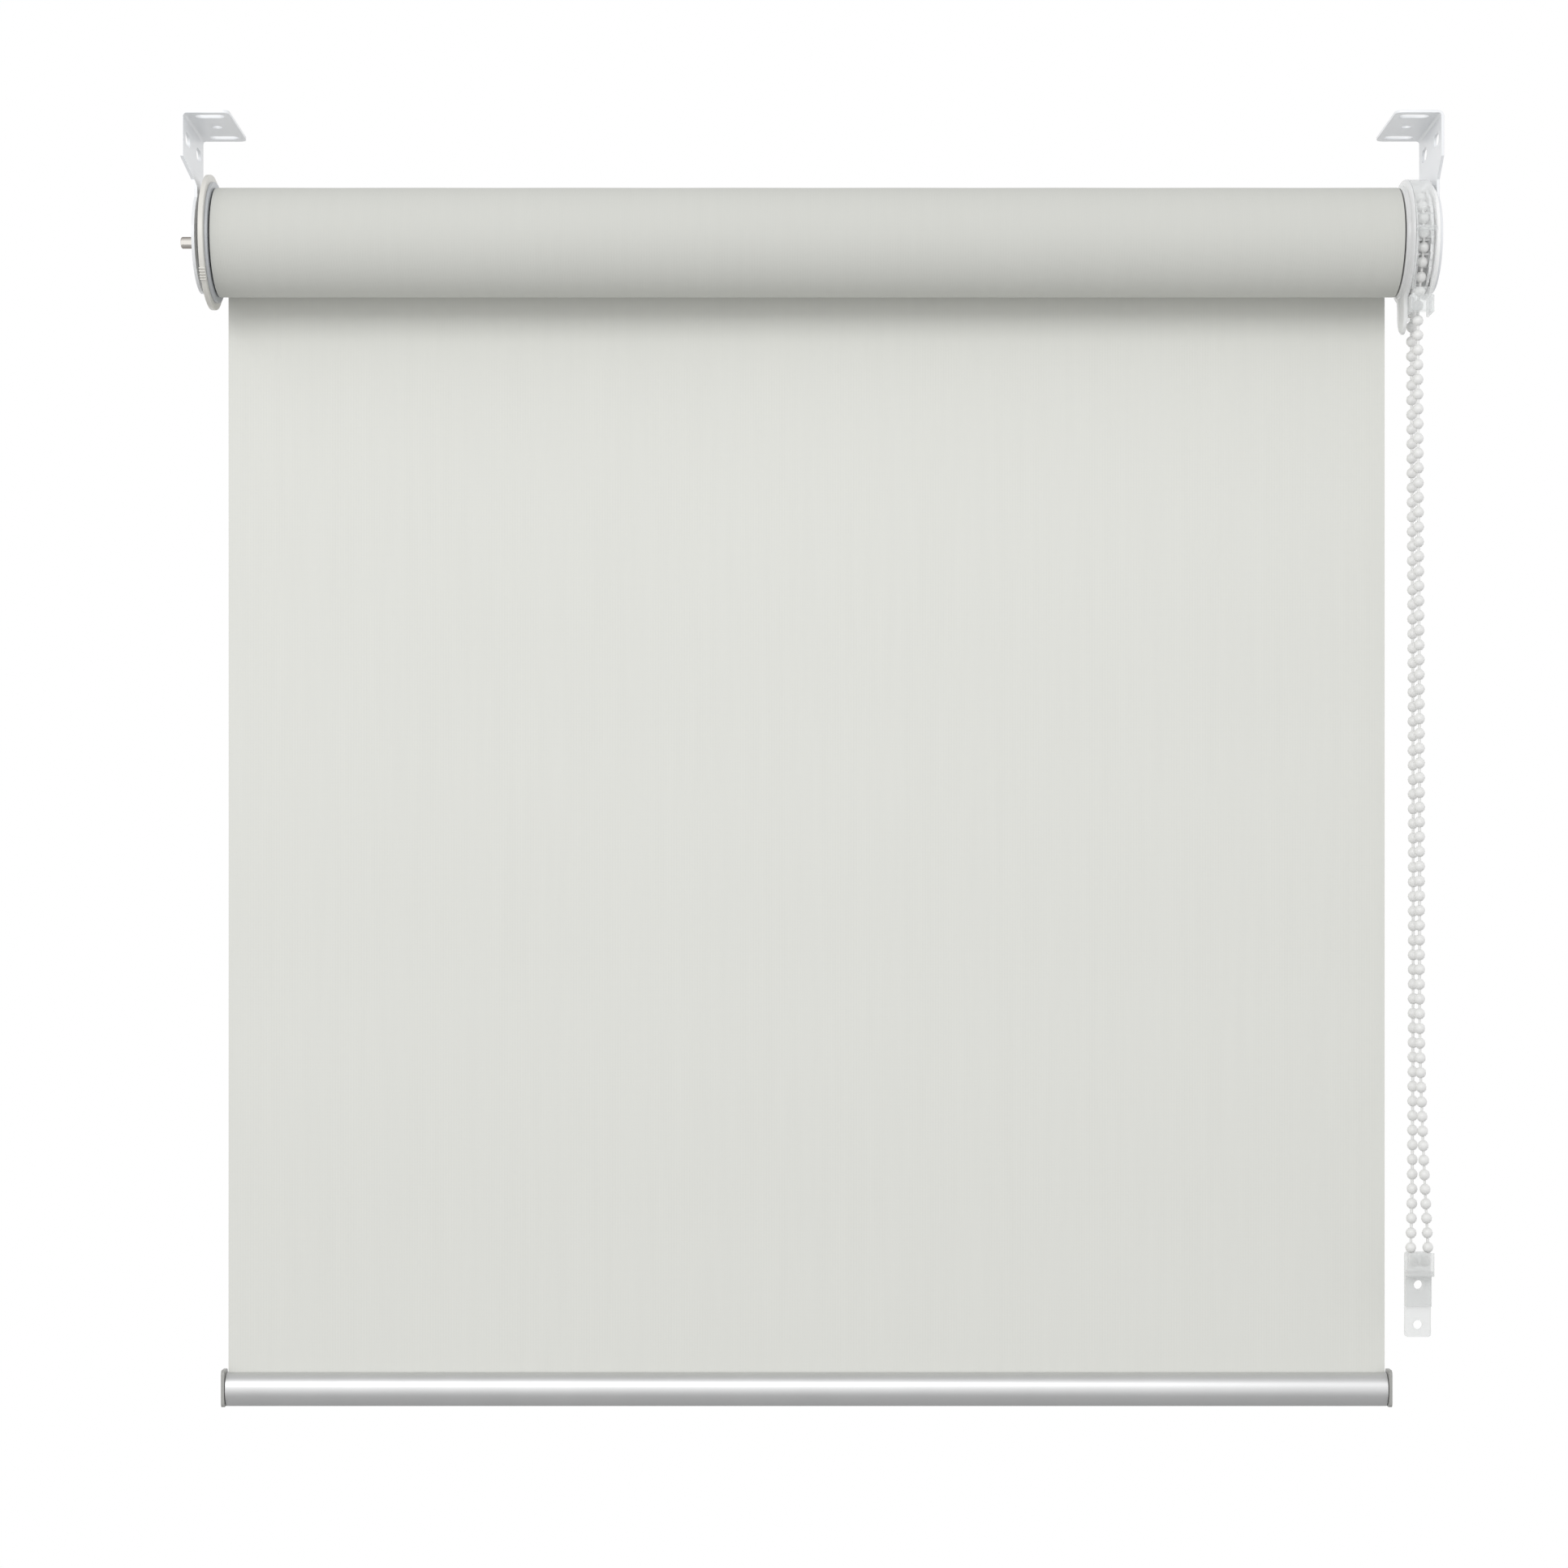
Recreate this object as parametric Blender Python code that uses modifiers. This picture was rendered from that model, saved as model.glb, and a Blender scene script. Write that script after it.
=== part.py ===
"""Roller blind: ceiling or side fixing, bead-chain drive on the right, sprung pin on the left.

Frame: +X runs along the roller to the drive end, +Y towards the window, +Z up. The origin lies on the
ceiling, above the roller's axis, midway between the outer faces of the two brackets. Metres.
"""
import math

import bmesh
import bpy
from mathutils import Matrix, Vector

MM = 0.001

# Overall sizes
BRACKET_SPAN = 509.0 * MM       # outer face to outer face of the brackets
AXIS_DROP = 48.5 * MM           # ceiling to the roller's axis
BLIND_DROP = 479.5 * MM         # roller's axis to the underside of the bottom rail
CLEAR = 0.3 * MM                # gap between pieces that touch
SPIN_GAP = 0.5 * MM             # gap beside a turning flange

# Brackets, bent from sheet steel
SHEET = 1.2 * MM
BRACKET_DEPTH = 45.0 * MM
FLANGE_REACH = 19.5 * MM
BEND_R = 1.8 * MM               # middle of the sheet, at each bend
JOGGLE = 4.1 * MM               # inward set of the idle bracket's lower plate
JOGGLE_TOP = 18.5 * MM          # below the ceiling
JOGGLE_TALL = 10.5 * MM
SHOULDER_SHARE = 0.7            # how far down the joggle the bracket reaches its neck
NECK_WIDTH = 27.0 * MM
PLATE_R = 20.6 * MM             # round lower plate, about the roller's axis
CORNER_R = 3.0 * MM
CUT_PAST = 3.0 * MM             # how far a cutter passes the sheet on each side
SLOT_LONG = 12.0 * MM
SLOT_WIDE = 5.0 * MM
SLOT_OFFSET = 16.5 * MM         # slots either side of the middle
SLOT_FROM_FACE = 11.0 * MM      # slot centres from the bracket's outer face
SIDE_SLOT_LONG = 10.0 * MM
SIDE_SLOT_OFFSET = 12.0 * MM
SIDE_SLOT_DOWN = 9.5 * MM       # side slots' centres below the ceiling
ROUND_HOLE_R = 2.15 * MM

# Roller
TUBE_R = 14.0 * MM
TUBE_WALL = 1.0 * MM
GROOVE_WIDE = 3.2 * MM
GROOVE_DEEP = 1.6 * MM
ROLL_R = 21.9 * MM              # outside of the wound fabric
FABRIC = 0.45 * MM
ROLL_INSET = 0.4 * MM           # fabric edge from each end of the tube

# Idle end
DISC_R = 27.1 * MM
DISC_T = 2.0 * MM
DISC_HUB_LONG = 2.2 * MM        # hub in front of the rim, which keeps it off the bracket
DISC_HUB_R = 7.2 * MM
DISC_WEB = 1.2 * MM
DISC_RIM = 2.3 * MM
PLUG_FLANGE_R = 24.2 * MM
PLUG_FLANGE_T = 0.9 * MM
PLUG_LONG = 32.0 * MM
PIN_R = 2.4 * MM
PIN_PROUD = 8.9 * MM            # beyond the outside of the idle bracket's plate
COLLAR_R = 4.6 * MM
COLLAR_T = 2.0 * MM
PLUG_WALL = 4.6 * MM            # plug's outer wall, which stops the collar
RETAINER_T = 2.4 * MM
SPRING_WIRE_R = 0.35 * MM
SPRING_TURNS = 6

# Drive end
BEAD_R = 2.25 * MM
BEAD_PITCH = 6.0 * MM
POCKETS = 20
BASE_T = 1.6 * MM
BASE_LIP = 3.9 * MM             # base's edge beyond the line of the beads
BOSS_R = 5.0 * MM
POST_R = 5.2 * MM
POST_PAST = 1.2 * MM            # post beyond its clip
SPROCKET_WIDE = 7.8 * MM
SPROCKET_LIP = 1.5 * MM         # sprocket's edge beyond the line of the beads
SPROCKET_WEB = 1.6 * MM
SLEEVE_LONG = 20.0 * MM
SLEEVE_WALL = 1.2 * MM
SLEEVE_SLOT = 4.0 * MM
SLEEVE_END_RING = 2.0 * MM      # uncut end of the sleeve, next to the sprocket
KEY_ROOT = 0.5 * MM             # how deep the hub's key is sunk into the hub
WRAP_WIRE_R = 0.45 * MM
WRAP_TURNS = 5
WRAP_PITCH = 1.3 * MM
WRAP_SPACE = 1.6 * MM           # between the two springs
WRAP_MARGIN = 1.0 * MM          # first spring from the sleeve's end
HUB_LONG = 34.0 * MM
HUB_FLANGE_LIP = 0.6 * MM       # beyond the tube
HUB_FLANGE_T = 1.0 * MM
CLIP_T = 0.8 * MM
CLIP_GROOVE = 0.9 * MM          # depth of the groove in the post
CLIP_R = 8.0 * MM
CLIP_MOUTH = 6.9 * MM
GUARD_LIP = 6.1 * MM            # guard's outside beyond the line of the beads
GUARD_FRAME = 1.2 * MM          # beside the window
GUARD_WALL = 1.4 * MM
INNER_PLATE_T = 1.5 * MM
TONGUE_DOWN = 37.6 * MM         # below the roller's axis
TONGUE_HALF = 8.0 * MM
OUTLET_HALF = 6.6 * MM          # strands from the middle, at the guard's outlet
OUTLET_DOWN = 28.0 * MM         # below the axis, where the strands turn straight down
GUARD_DOWN = 30.0 * MM
WINDOW_TOP = 6.5 * MM
WINDOW_BOTTOM = 21.6 * MM

# Chain holder
HOLDER_ASIDE = 1.9 * MM         # holder's middle from the chain's plane
HOLDER_WIDE = 10.7 * MM
HOLDER_TALL = 35.0 * MM
HOLDER_TOP = 413.5 * MM         # below the roller's axis
HOLDER_T = 1.7 * MM
HOLDER_CORNER = 1.2 * MM
HOLDER_HOLE_R = 1.9 * MM
HOLDER_HOLES = (13.5 * MM, 30.0 * MM)
HEAD_FRONT = 1.3 * MM
HEAD_FLOOR = 1.9 * MM
COVER_TALL = 22.4 * MM
TURN_R = 3.5 * MM               # the chain's turn about the holder's post
TURN_GAP = 0.35 * MM            # bead to post
TURN_DOWN = 415.0 * MM          # below the axis
HEAD_ROOM = 0.5 * MM            # bead to the walls of the holder's head
FLAP_T = 1.4 * MM

# Bottom rail
RAIL_TALL = 14.0 * MM
RAIL_FRONT = 5.6 * MM           # in front of the fabric's middle
RAIL_BACK = 3.4 * MM
RAIL_WALL = 1.1 * MM
RAIL_CORNER = 1.0 * MM
RAIL_PAST = 0.6 * MM            # bar beyond each edge of the fabric
CAP_T = 1.3 * MM
CAP_RISE = 1.4 * MM             # cap above the bar's top
CAP_PEG = 9.0 * MM
CAP_CORNER = 2.0 * MM
STRIP_R = 1.9 * MM
STRIP_DEEP = 3.6 * MM           # strip's centre below the rail's top
RAIL_SLOT_GAP = 0.35 * MM       # either side of the fabric

# Places that follow from the sizes above
LEFT_FACE = -BRACKET_SPAN / 2
RIGHT_FACE = BRACKET_SPAN / 2
AXIS_Z = -AXIS_DROP
TUBE_BORE = TUBE_R - TUBE_WALL
GROOVE_RIDGE = TUBE_R - GROOVE_DEEP - TUBE_WALL
PLUG_R = TUBE_BORE - CLEAR

IDLE_PLATE_OUT = LEFT_FACE + JOGGLE
IDLE_PLATE_IN = IDLE_PLATE_OUT + SHEET
DISC_HUB_X = IDLE_PLATE_IN + CLEAR
DISC_X = DISC_HUB_X + DISC_HUB_LONG
PLUG_X = DISC_X + DISC_T + CLEAR
TUBE_LEFT = PLUG_X + PLUG_FLANGE_T + CLEAR
PIN_X = IDLE_PLATE_OUT - PIN_PROUD
COLLAR_X = PLUG_X + PLUG_WALL + CLEAR
PLUG_END = TUBE_LEFT + PLUG_LONG
RETAINER_X = PLUG_END - RETAINER_T
PIN_END = RETAINER_X + RETAINER_T / 2
COLLAR_BORE = COLLAR_R + CLEAR

DRIVE_PLATE_IN = RIGHT_FACE - SHEET
BASE_X = DRIVE_PLATE_IN - CLEAR - BASE_T
SPROCKET_RIGHT = BASE_X - SPIN_GAP
SPROCKET_LEFT = SPROCKET_RIGHT - SPROCKET_WIDE
CHAIN_X = (SPROCKET_LEFT + SPROCKET_RIGHT) / 2
INNER_PLATE_RIGHT = SPROCKET_LEFT - SPIN_GAP
INNER_PLATE_LEFT = INNER_PLATE_RIGHT - INNER_PLATE_T
HUB_FLANGE_RIGHT = INNER_PLATE_LEFT - SPIN_GAP
HUB_FLANGE_LEFT = HUB_FLANGE_RIGHT - HUB_FLANGE_T
TUBE_RIGHT = HUB_FLANGE_LEFT - CLEAR
HUB_END = TUBE_RIGHT - HUB_LONG
WRAP_MEAN_R = POST_R + CLEAR + WRAP_WIRE_R
SLEEVE_BORE = WRAP_MEAN_R + WRAP_WIRE_R + 2.0 * MM
SLEEVE_R = SLEEVE_BORE + SLEEVE_WALL
SLEEVE_END = SPROCKET_LEFT - SLEEVE_LONG
CLIP_X = HUB_END - CLEAR - CLIP_T
POST_END = CLIP_X - POST_PAST
PITCH_R = POCKETS * BEAD_PITCH / math.tau
SPROCKET_R = PITCH_R + SPROCKET_LIP
BASE_R = PITCH_R + BASE_LIP
GUARD_R = PITCH_R + GUARD_LIP
HUB_FLANGE_R = TUBE_R + HUB_FLANGE_LIP
HOLDER_X = CHAIN_X + HOLDER_ASIDE
HOLDER_POST_R = TURN_R - BEAD_R - TURN_GAP

FABRIC_LEFT = TUBE_LEFT + ROLL_INSET
FABRIC_RIGHT = TUBE_RIGHT - ROLL_INSET
FABRIC_MID = (FABRIC_LEFT + FABRIC_RIGHT) / 2
FABRIC_WIDTH = FABRIC_RIGHT - FABRIC_LEFT
SHEET_Y = ROLL_R + CLEAR + FABRIC / 2
RAIL_TOP = AXIS_Z - BLIND_DROP + RAIL_TALL
RAIL_LONG = FABRIC_WIDTH + 2 * RAIL_PAST
STRIP_Z = RAIL_TOP - STRIP_DEEP

# The chain's free loop, front strand first: X from the sprocket's middle, Y, Z from the roller's
# axis, in millimetres
CHAIN_ROUTE = (
    (0.0, -6.6, -29.9), (0.0, -6.6, -50.0), (0.2, -6.6, -100.0), (0.5, -6.6, -160.0),
    (0.7, -6.6, -230.0), (0.7, -6.6, -290.0), (0.8, -6.5, -325.0), (2.0, -4.7, -355.0),
    (3.7, -2.2, -385.0), (5.1, -0.2, -405.0), (5.4, 0.0, -415.0), (4.37, 0.0, -417.47),
    (1.9, 0.0, -418.5), (-0.57, 0.0, -417.47), (-1.6, 0.0, -415.0), (-1.4, 0.2, -405.0),
    (-0.6, 2.2, -385.0), (0.1, 4.7, -355.0), (0.6, 6.5, -325.0), (0.7, 6.6, -290.0),
    (0.7, 6.6, -230.0), (0.5, 6.6, -160.0), (0.2, 6.6, -100.0), (0.0, 6.6, -50.0),
    (0.0, 6.6, -29.9),
)
CHAIN_STEP = 13.0 * MM

# Local Z becomes world X, local X world Y and local Y world Z
ALONG_X = Matrix(((0, 0, 1), (1, 0, 0), (0, 1, 0))).to_4x4()
# Local Z becomes world Y, local X world Z and local Y world X
ALONG_Y = Matrix(((0, 1, 0), (0, 0, 1), (1, 0, 0))).to_4x4()


# ---------------------------------------------------------------- scene, materials and placing

def start():
    for item in list(bpy.data.objects):
        bpy.data.objects.remove(item, do_unlink=True)
    made = []
    for name in ("Roller blind", "Cutters"):
        group = bpy.data.collections.new(name)
        bpy.context.scene.collection.children.link(group)
        made.append(group)
    return made


PARTS, CUTTERS = start()


def axis(name, x, y, z):
    """An empty on the axis of a moving group."""
    empty = bpy.data.objects.new(name, None)
    empty.location = (x, y, z)
    empty.empty_display_size = 0.02
    PARTS.objects.link(empty)
    return empty


def finish(name, body, colour, roughness=0.5, metallic=0.0, alpha=1.0, parent=None):
    """Name a finished piece, hang it on its parent and give it a material of its own."""
    body.name = name
    body.data.name = name
    skin = bpy.data.materials.new(name)
    skin.use_nodes = True
    shader = skin.node_tree.nodes["Principled BSDF"]
    shader.inputs["Base Color"].default_value = (*colour, 1.0)
    shader.inputs["Roughness"].default_value = roughness
    shader.inputs["Metallic"].default_value = metallic
    shader.inputs["Alpha"].default_value = alpha
    body.data.materials.clear()
    body.data.materials.append(skin)
    if parent is not None:
        body.parent = parent
        body.matrix_parent_inverse = Matrix.Translation(-parent.location)
    return body


def link(name, mesh, turn=None, at=(0, 0, 0)):
    body = bpy.data.objects.new(name, mesh)
    body.matrix_world = Matrix.Translation(at) @ (turn or Matrix.Identity(4))
    PARTS.objects.link(body)
    return body


def smooth(mesh, angle=35):
    mesh.shade_smooth()
    mesh.set_sharp_from_angle(angle=math.radians(angle))


# ---------------------------------------------------------------- shapes

def block(low, high):
    """A box between two corners."""
    bm = bmesh.new()
    size = [b - a for a, b in zip(low, high)]
    middle = [(a + b) / 2 for a, b in zip(low, high)]
    bmesh.ops.create_cube(bm, size=1, matrix=Matrix.Translation(middle) @ Matrix.Diagonal((*size, 1)))
    mesh = bpy.data.meshes.new("block")
    bm.to_mesh(mesh)
    bm.free()
    return link("block", mesh)


def cylinder(radius, start_at, end_at, turn, sides=32):
    """A round bar from one point to another, which lie along the turned Z axis."""
    bm = bmesh.new()
    length = (Vector(end_at) - Vector(start_at)).length
    bmesh.ops.create_cone(bm, cap_ends=True, segments=sides, radius1=radius, radius2=radius, depth=length)
    mesh = bpy.data.meshes.new("cylinder")
    bm.to_mesh(mesh)
    bm.free()
    smooth(mesh)
    return link("cylinder", mesh, turn, (Vector(start_at) + Vector(end_at)) / 2)


def turned(profile, steps=48):
    """Turn a closed outline of (x, radius) points about the roller's axis."""
    area = sum(a[0] * b[1] - b[0] * a[1] for a, b in zip(profile, profile[1:] + profile[:1]))
    ordered = profile if area > 0 else profile[::-1]
    open_at = [i for i, p in enumerate(ordered) if p[1] == 0 and ordered[(i + 1) % len(ordered)][1] == 0]
    if open_at:
        cut_at = open_at[0] + 1
        ordered = ordered[cut_at:] + ordered[:cut_at]
    bm = bmesh.new()
    ring = [bm.verts.new((radius, 0, x)) for x, radius in ordered]
    pairs = zip(ring, ring[1:] if open_at else ring[1:] + ring[:1])
    for a, b in pairs:
        bm.edges.new((a, b))
    mesh = bpy.data.meshes.new("turned")
    bm.to_mesh(mesh)
    bm.free()
    body = link("turned", mesh, ALONG_X, (0, 0, AXIS_Z))
    screw = body.modifiers.new("Screw", "SCREW")
    screw.axis = "Z"
    screw.steps = steps
    screw.render_steps = steps
    screw.use_merge_vertices = True
    screw.merge_threshold = 0.00001
    return baked(body)


def baked(body):
    """The piece as a mesh of its own, with its modifiers or its curve worked out."""
    bpy.context.view_layer.update()
    seen = body.evaluated_get(bpy.context.evaluated_depsgraph_get())
    mesh = bpy.data.meshes.new_from_object(seen)
    bm = bmesh.new()
    bm.from_mesh(mesh)
    bmesh.ops.remove_doubles(bm, verts=bm.verts, dist=0.000001)
    bmesh.ops.recalc_face_normals(bm, faces=bm.faces)
    bm.to_mesh(mesh)
    bm.free()
    smooth(mesh)
    fresh = link(body.name, mesh, body.matrix_world.copy())
    bpy.data.objects.remove(body, do_unlink=True)
    return fresh


def extruded(outlines, from_at, to_at, turn, at=(0, 0, 0)):
    """A flat shape of closed outlines (holes included), between two distances along its own Z."""
    curve = bpy.data.curves.new("outline", "CURVE")
    curve.dimensions = "2D"
    curve.fill_mode = "BOTH"
    curve.extrude = (to_at - from_at) / 2
    for outline in outlines:
        spline = curve.splines.new("POLY")
        spline.points.add(len(outline) - 1)
        for point, (u, v) in zip(spline.points, outline):
            point.co = (u, v, 0, 1)
        spline.use_cyclic_u = True
    shift = Matrix.Translation((0, 0, (from_at + to_at) / 2))
    body = link("outline", curve, turn @ shift, at)
    body.matrix_world = Matrix.Translation(at) @ turn @ shift
    return baked(body)


def tube(points, radius, around=2):
    """A round wire through the points, with closed ends."""
    curve = bpy.data.curves.new("wire", "CURVE")
    curve.dimensions = "3D"
    curve.bevel_depth = radius
    curve.bevel_resolution = around
    curve.use_fill_caps = True
    spline = curve.splines.new("POLY")
    spline.points.add(len(points) - 1)
    for point, place in zip(spline.points, points):
        point.co = (*place, 1)
    return baked(link("wire", curve))


def shape(body, other, operation):
    """Cut, join or trim a piece with another, which stays as a guide."""
    step = body.modifiers.new(operation.title(), "BOOLEAN")
    step.operation = operation
    step.solver = "EXACT"
    step.object = other
    other.hide_render = True
    other.display_type = "WIRE"
    PARTS.objects.unlink(other)
    CUTTERS.objects.link(other)
    return body


def cut(body, *others):
    for other in others:
        shape(body, other, "DIFFERENCE")
    return body


# ---------------------------------------------------------------- outlines

def arc(centre, radius, start_deg, end_deg, steps):
    """Points on an arc, in degrees from the first axis."""
    turns = [math.radians(start_deg + (end_deg - start_deg) * i / steps) for i in range(steps + 1)]
    return [(centre[0] + radius * math.cos(t), centre[1] + radius * math.sin(t)) for t in turns]


def rounded(corners, radius, steps=5, closed=True):
    """The outline with each corner replaced by an arc of the radius."""
    made = []
    count = len(corners)
    for i, corner in enumerate(corners):
        if not closed and i in (0, count - 1):
            made.append(corner)
            continue
        here = Vector(corner)
        before = (Vector(corners[i - 1]) - here).normalized()
        after = (Vector(corners[(i + 1) % count]) - here).normalized()
        half = before.angle(after) / 2
        back = radius / math.tan(half)
        middle = here + (before + after).normalized() * radius / math.sin(half)
        first = here + before * back - middle
        sweep = first.angle_signed(here + after * back - middle)
        for k in range(steps + 1):
            turn = Matrix.Rotation(-sweep * k / steps, 2)
            made.append(tuple(middle + turn @ first))
    return made


def rectangle(low, high, radius=0.0):
    corners = [low, (high[0], low[1]), high, (low[0], high[1])]
    return rounded(corners, radius) if radius else corners


def slot(centre, long, wide):
    """A round-ended slot along the first axis."""
    reach = (long - wide) / 2
    right = arc((centre[0] + reach, centre[1]), wide / 2, -90, 90, 8)
    left = arc((centre[0] - reach, centre[1]), wide / 2, 90, 270, 8)
    return right + left


def strip_outline(middle_line, thickness):
    """The outline of bent sheet, from the points along its middle."""
    sides = ([], [])
    for i, point in enumerate(middle_line):
        before = Vector(middle_line[max(i - 1, 0)])
        after = Vector(middle_line[min(i + 1, len(middle_line) - 1)])
        along = (after - before).normalized()
        across = Vector((-along.y, along.x)) * thickness / 2
        sides[0].append(tuple(Vector(point) + across))
        sides[1].append(tuple(Vector(point) - across))
    return sides[0] + sides[1][::-1]


def smooth_route(points, step):
    """Points along a smooth curve (Catmull-Rom) through the route's own points."""
    ends = [points[0] * 2 - points[1]] + points + [points[-1] * 2 - points[-2]]
    made = [points[0]]
    for a, b, c, d in zip(ends, ends[1:], ends[2:], ends[3:]):
        parts = max(2, round((c - b).length / step))
        for k in range(1, parts + 1):
            t = k / parts
            made.append(0.5 * ((2 * b) + (c - a) * t + (2 * a - 5 * b + 4 * c - d) * t * t
                               + (3 * b - a - 3 * c + d) * t ** 3))
    return made


def coil(mean_radius, from_x, to_x, turns, tang=0.0, points_a_turn=10):
    """A coil about the roller's axis, with its ends turned outwards by the tang."""
    count = turns * points_a_turn
    made = []
    for i in range(count + 1):
        turn = math.tau * i / points_a_turn
        x = from_x + (to_x - from_x) * i / count
        made.append(Vector((x, mean_radius * math.sin(turn), AXIS_Z + mean_radius * math.cos(turn))))
    if tang:
        out = Vector((0, 0, tang))
        made = [made[0] + out] + made + [made[-1] + out]
    return made


# ---------------------------------------------------------------- brackets

def bracket_silhouette():
    """The bracket seen from its side: wide top, neck and round lower plate."""
    half = BRACKET_DEPTH / 2
    lower = JOGGLE_TOP + JOGGLE_TALL * SHOULDER_SHARE
    # where the round plate is as wide as the neck
    join = math.degrees(math.asin(NECK_WIDTH / 2 / PLATE_R))
    plate = arc((0, AXIS_Z), PLATE_R, 90 - join, 90 - join - 360 + 2 * join, 32)
    shoulders_left = [(-NECK_WIDTH / 2, -lower), (-half, -JOGGLE_TOP), (-half, SHEET)]
    shoulders_right = [(half, SHEET), (half, -JOGGLE_TOP), (NECK_WIDTH / 2, -lower)]
    return plate + shoulders_left + shoulders_right


def bracket(side, joggle):
    """Flange, leg and lower plate, for the left (-1) or right (1) end."""
    face = side * BRACKET_SPAN / 2
    x = face - side * SHEET / 2
    low_x = x - side * joggle
    middle = [(face - side * FLANGE_REACH, -SHEET / 2), (x, -SHEET / 2)]
    if joggle:
        middle += [(x, -JOGGLE_TOP), (low_x, -JOGGLE_TOP - JOGGLE_TALL)]
    middle.append((low_x, AXIS_Z - PLATE_R - CUT_PAST))
    outline = strip_outline(rounded(middle, BEND_R, steps=5, closed=False), SHEET)
    # across the sheet's depth: X stays X, the outline's second value is Z
    across = Matrix(((1, 0, 0), (0, 0, -1), (0, 1, 0))).to_4x4()
    body = extruded([outline], -BRACKET_DEPTH / 2, BRACKET_DEPTH / 2, across)
    inner = face - side * FLANGE_REACH
    beyond = face + side * (CORNER_R + CUT_PAST)
    ends = sorted((inner - side * CUT_PAST, beyond))
    shape(body, extruded([bracket_silhouette()], *ends, ALONG_X), "INTERSECT")
    low = (min(inner, beyond), -BRACKET_DEPTH / 2)
    high = (max(inner, beyond), BRACKET_DEPTH / 2)
    foot = AXIS_Z - PLATE_R - 2 * CUT_PAST
    plan = extruded([rectangle(low, high, CORNER_R)], foot, CUT_PAST, Matrix.Identity(4))
    shape(body, plan, "INTERSECT")
    slot_x = face - side * SLOT_FROM_FACE
    for y in (-SLOT_OFFSET, SLOT_OFFSET):
        outline = slot((slot_x, y), SLOT_LONG, SLOT_WIDE)
        cut(body, extruded([outline], -CUT_PAST, CUT_PAST, Matrix.Identity(4)))
    for y in (-SIDE_SLOT_OFFSET, SIDE_SLOT_OFFSET):
        outline = slot((y, -SIDE_SLOT_DOWN), SIDE_SLOT_LONG, SLOT_WIDE)
        cut(body, extruded([outline], x - CUT_PAST, x + CUT_PAST, ALONG_X))
    hole = arc((slot_x, 0), ROUND_HOLE_R, 0, 348.75, 31)
    cut(body, extruded([hole], -CUT_PAST, CUT_PAST, Matrix.Identity(4)))
    return body, low_x


def brackets():
    left, plate_x = bracket(-1, JOGGLE)
    ends = [(plate_x - CUT_PAST, 0, AXIS_Z), (plate_x + CUT_PAST, 0, AXIS_Z)]
    cut(left, cylinder(PIN_R + CLEAR, *ends, ALONG_X))
    finish("bracket_idle", left, (0.80, 0.82, 0.84), 0.35, 0.1)
    right, plate_x = bracket(1, 0)
    ends = [(plate_x - CUT_PAST, 0, AXIS_Z), (plate_x + CUT_PAST, 0, AXIS_Z)]
    cut(right, cylinder(BOSS_R + CLEAR, *ends, ALONG_X))
    finish("bracket_drive", right, (0.80, 0.82, 0.84), 0.35, 0.1)


# ---------------------------------------------------------------- roller

def tube_outlines():
    """The tube's outer and inner outlines, with the groove that grips the fabric at the top."""
    def ring(radius, floor, half):
        side = math.degrees(math.asin(half / radius))
        around = arc((0, 0), radius, 90 + side, 450 - side, 60)
        return around + [(half, floor), (-half, floor)]
    outer = ring(TUBE_R, TUBE_R - GROOVE_DEEP, GROOVE_WIDE / 2)
    inner = ring(TUBE_BORE, GROOVE_RIDGE, GROOVE_WIDE / 2 + TUBE_WALL)
    return [outer, inner]


def keyway(from_x, to_x):
    """The space that an insert leaves for the tube's groove."""
    half = GROOVE_WIDE / 2 + TUBE_WALL + CLEAR
    low = (from_x, -half, AXIS_Z + GROOVE_RIDGE - CLEAR)
    return block(low, (to_x, half, AXIS_Z + TUBE_R + CUT_PAST))


def roller(spin):
    body = extruded(tube_outlines(), TUBE_LEFT, TUBE_RIGHT, ALONG_X, (0, 0, AXIS_Z))
    finish("roller_tube", body, (0.72, 0.73, 0.74), 0.3, 0.9, parent=spin)
    half = GROOVE_WIDE / 2 - CLEAR
    low = (FABRIC_LEFT, -half, AXIS_Z + TUBE_R - GROOVE_DEEP + CLEAR)
    high = (FABRIC_RIGHT, half, AXIS_Z + TUBE_R)
    finish("fabric_spline", block(low, high), (0.9, 0.9, 0.88), parent=spin)
    inside = TUBE_R + CLEAR
    ring = [(FABRIC_LEFT, inside), (FABRIC_LEFT, ROLL_R), (FABRIC_RIGHT, ROLL_R), (FABRIC_RIGHT, inside)]
    finish("fabric_roll", turned(ring, 64), (0.80, 0.80, 0.77), 0.9, parent=spin)


def fabric_sheet():
    low = (FABRIC_LEFT, SHEET_Y - FABRIC / 2, STRIP_Z + STRIP_R + CLEAR)
    high = (FABRIC_RIGHT, SHEET_Y + FABRIC / 2, AXIS_Z)
    finish("fabric_sheet", block(low, high), (0.84, 0.84, 0.81), 0.9)


# ---------------------------------------------------------------- idle end

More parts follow.
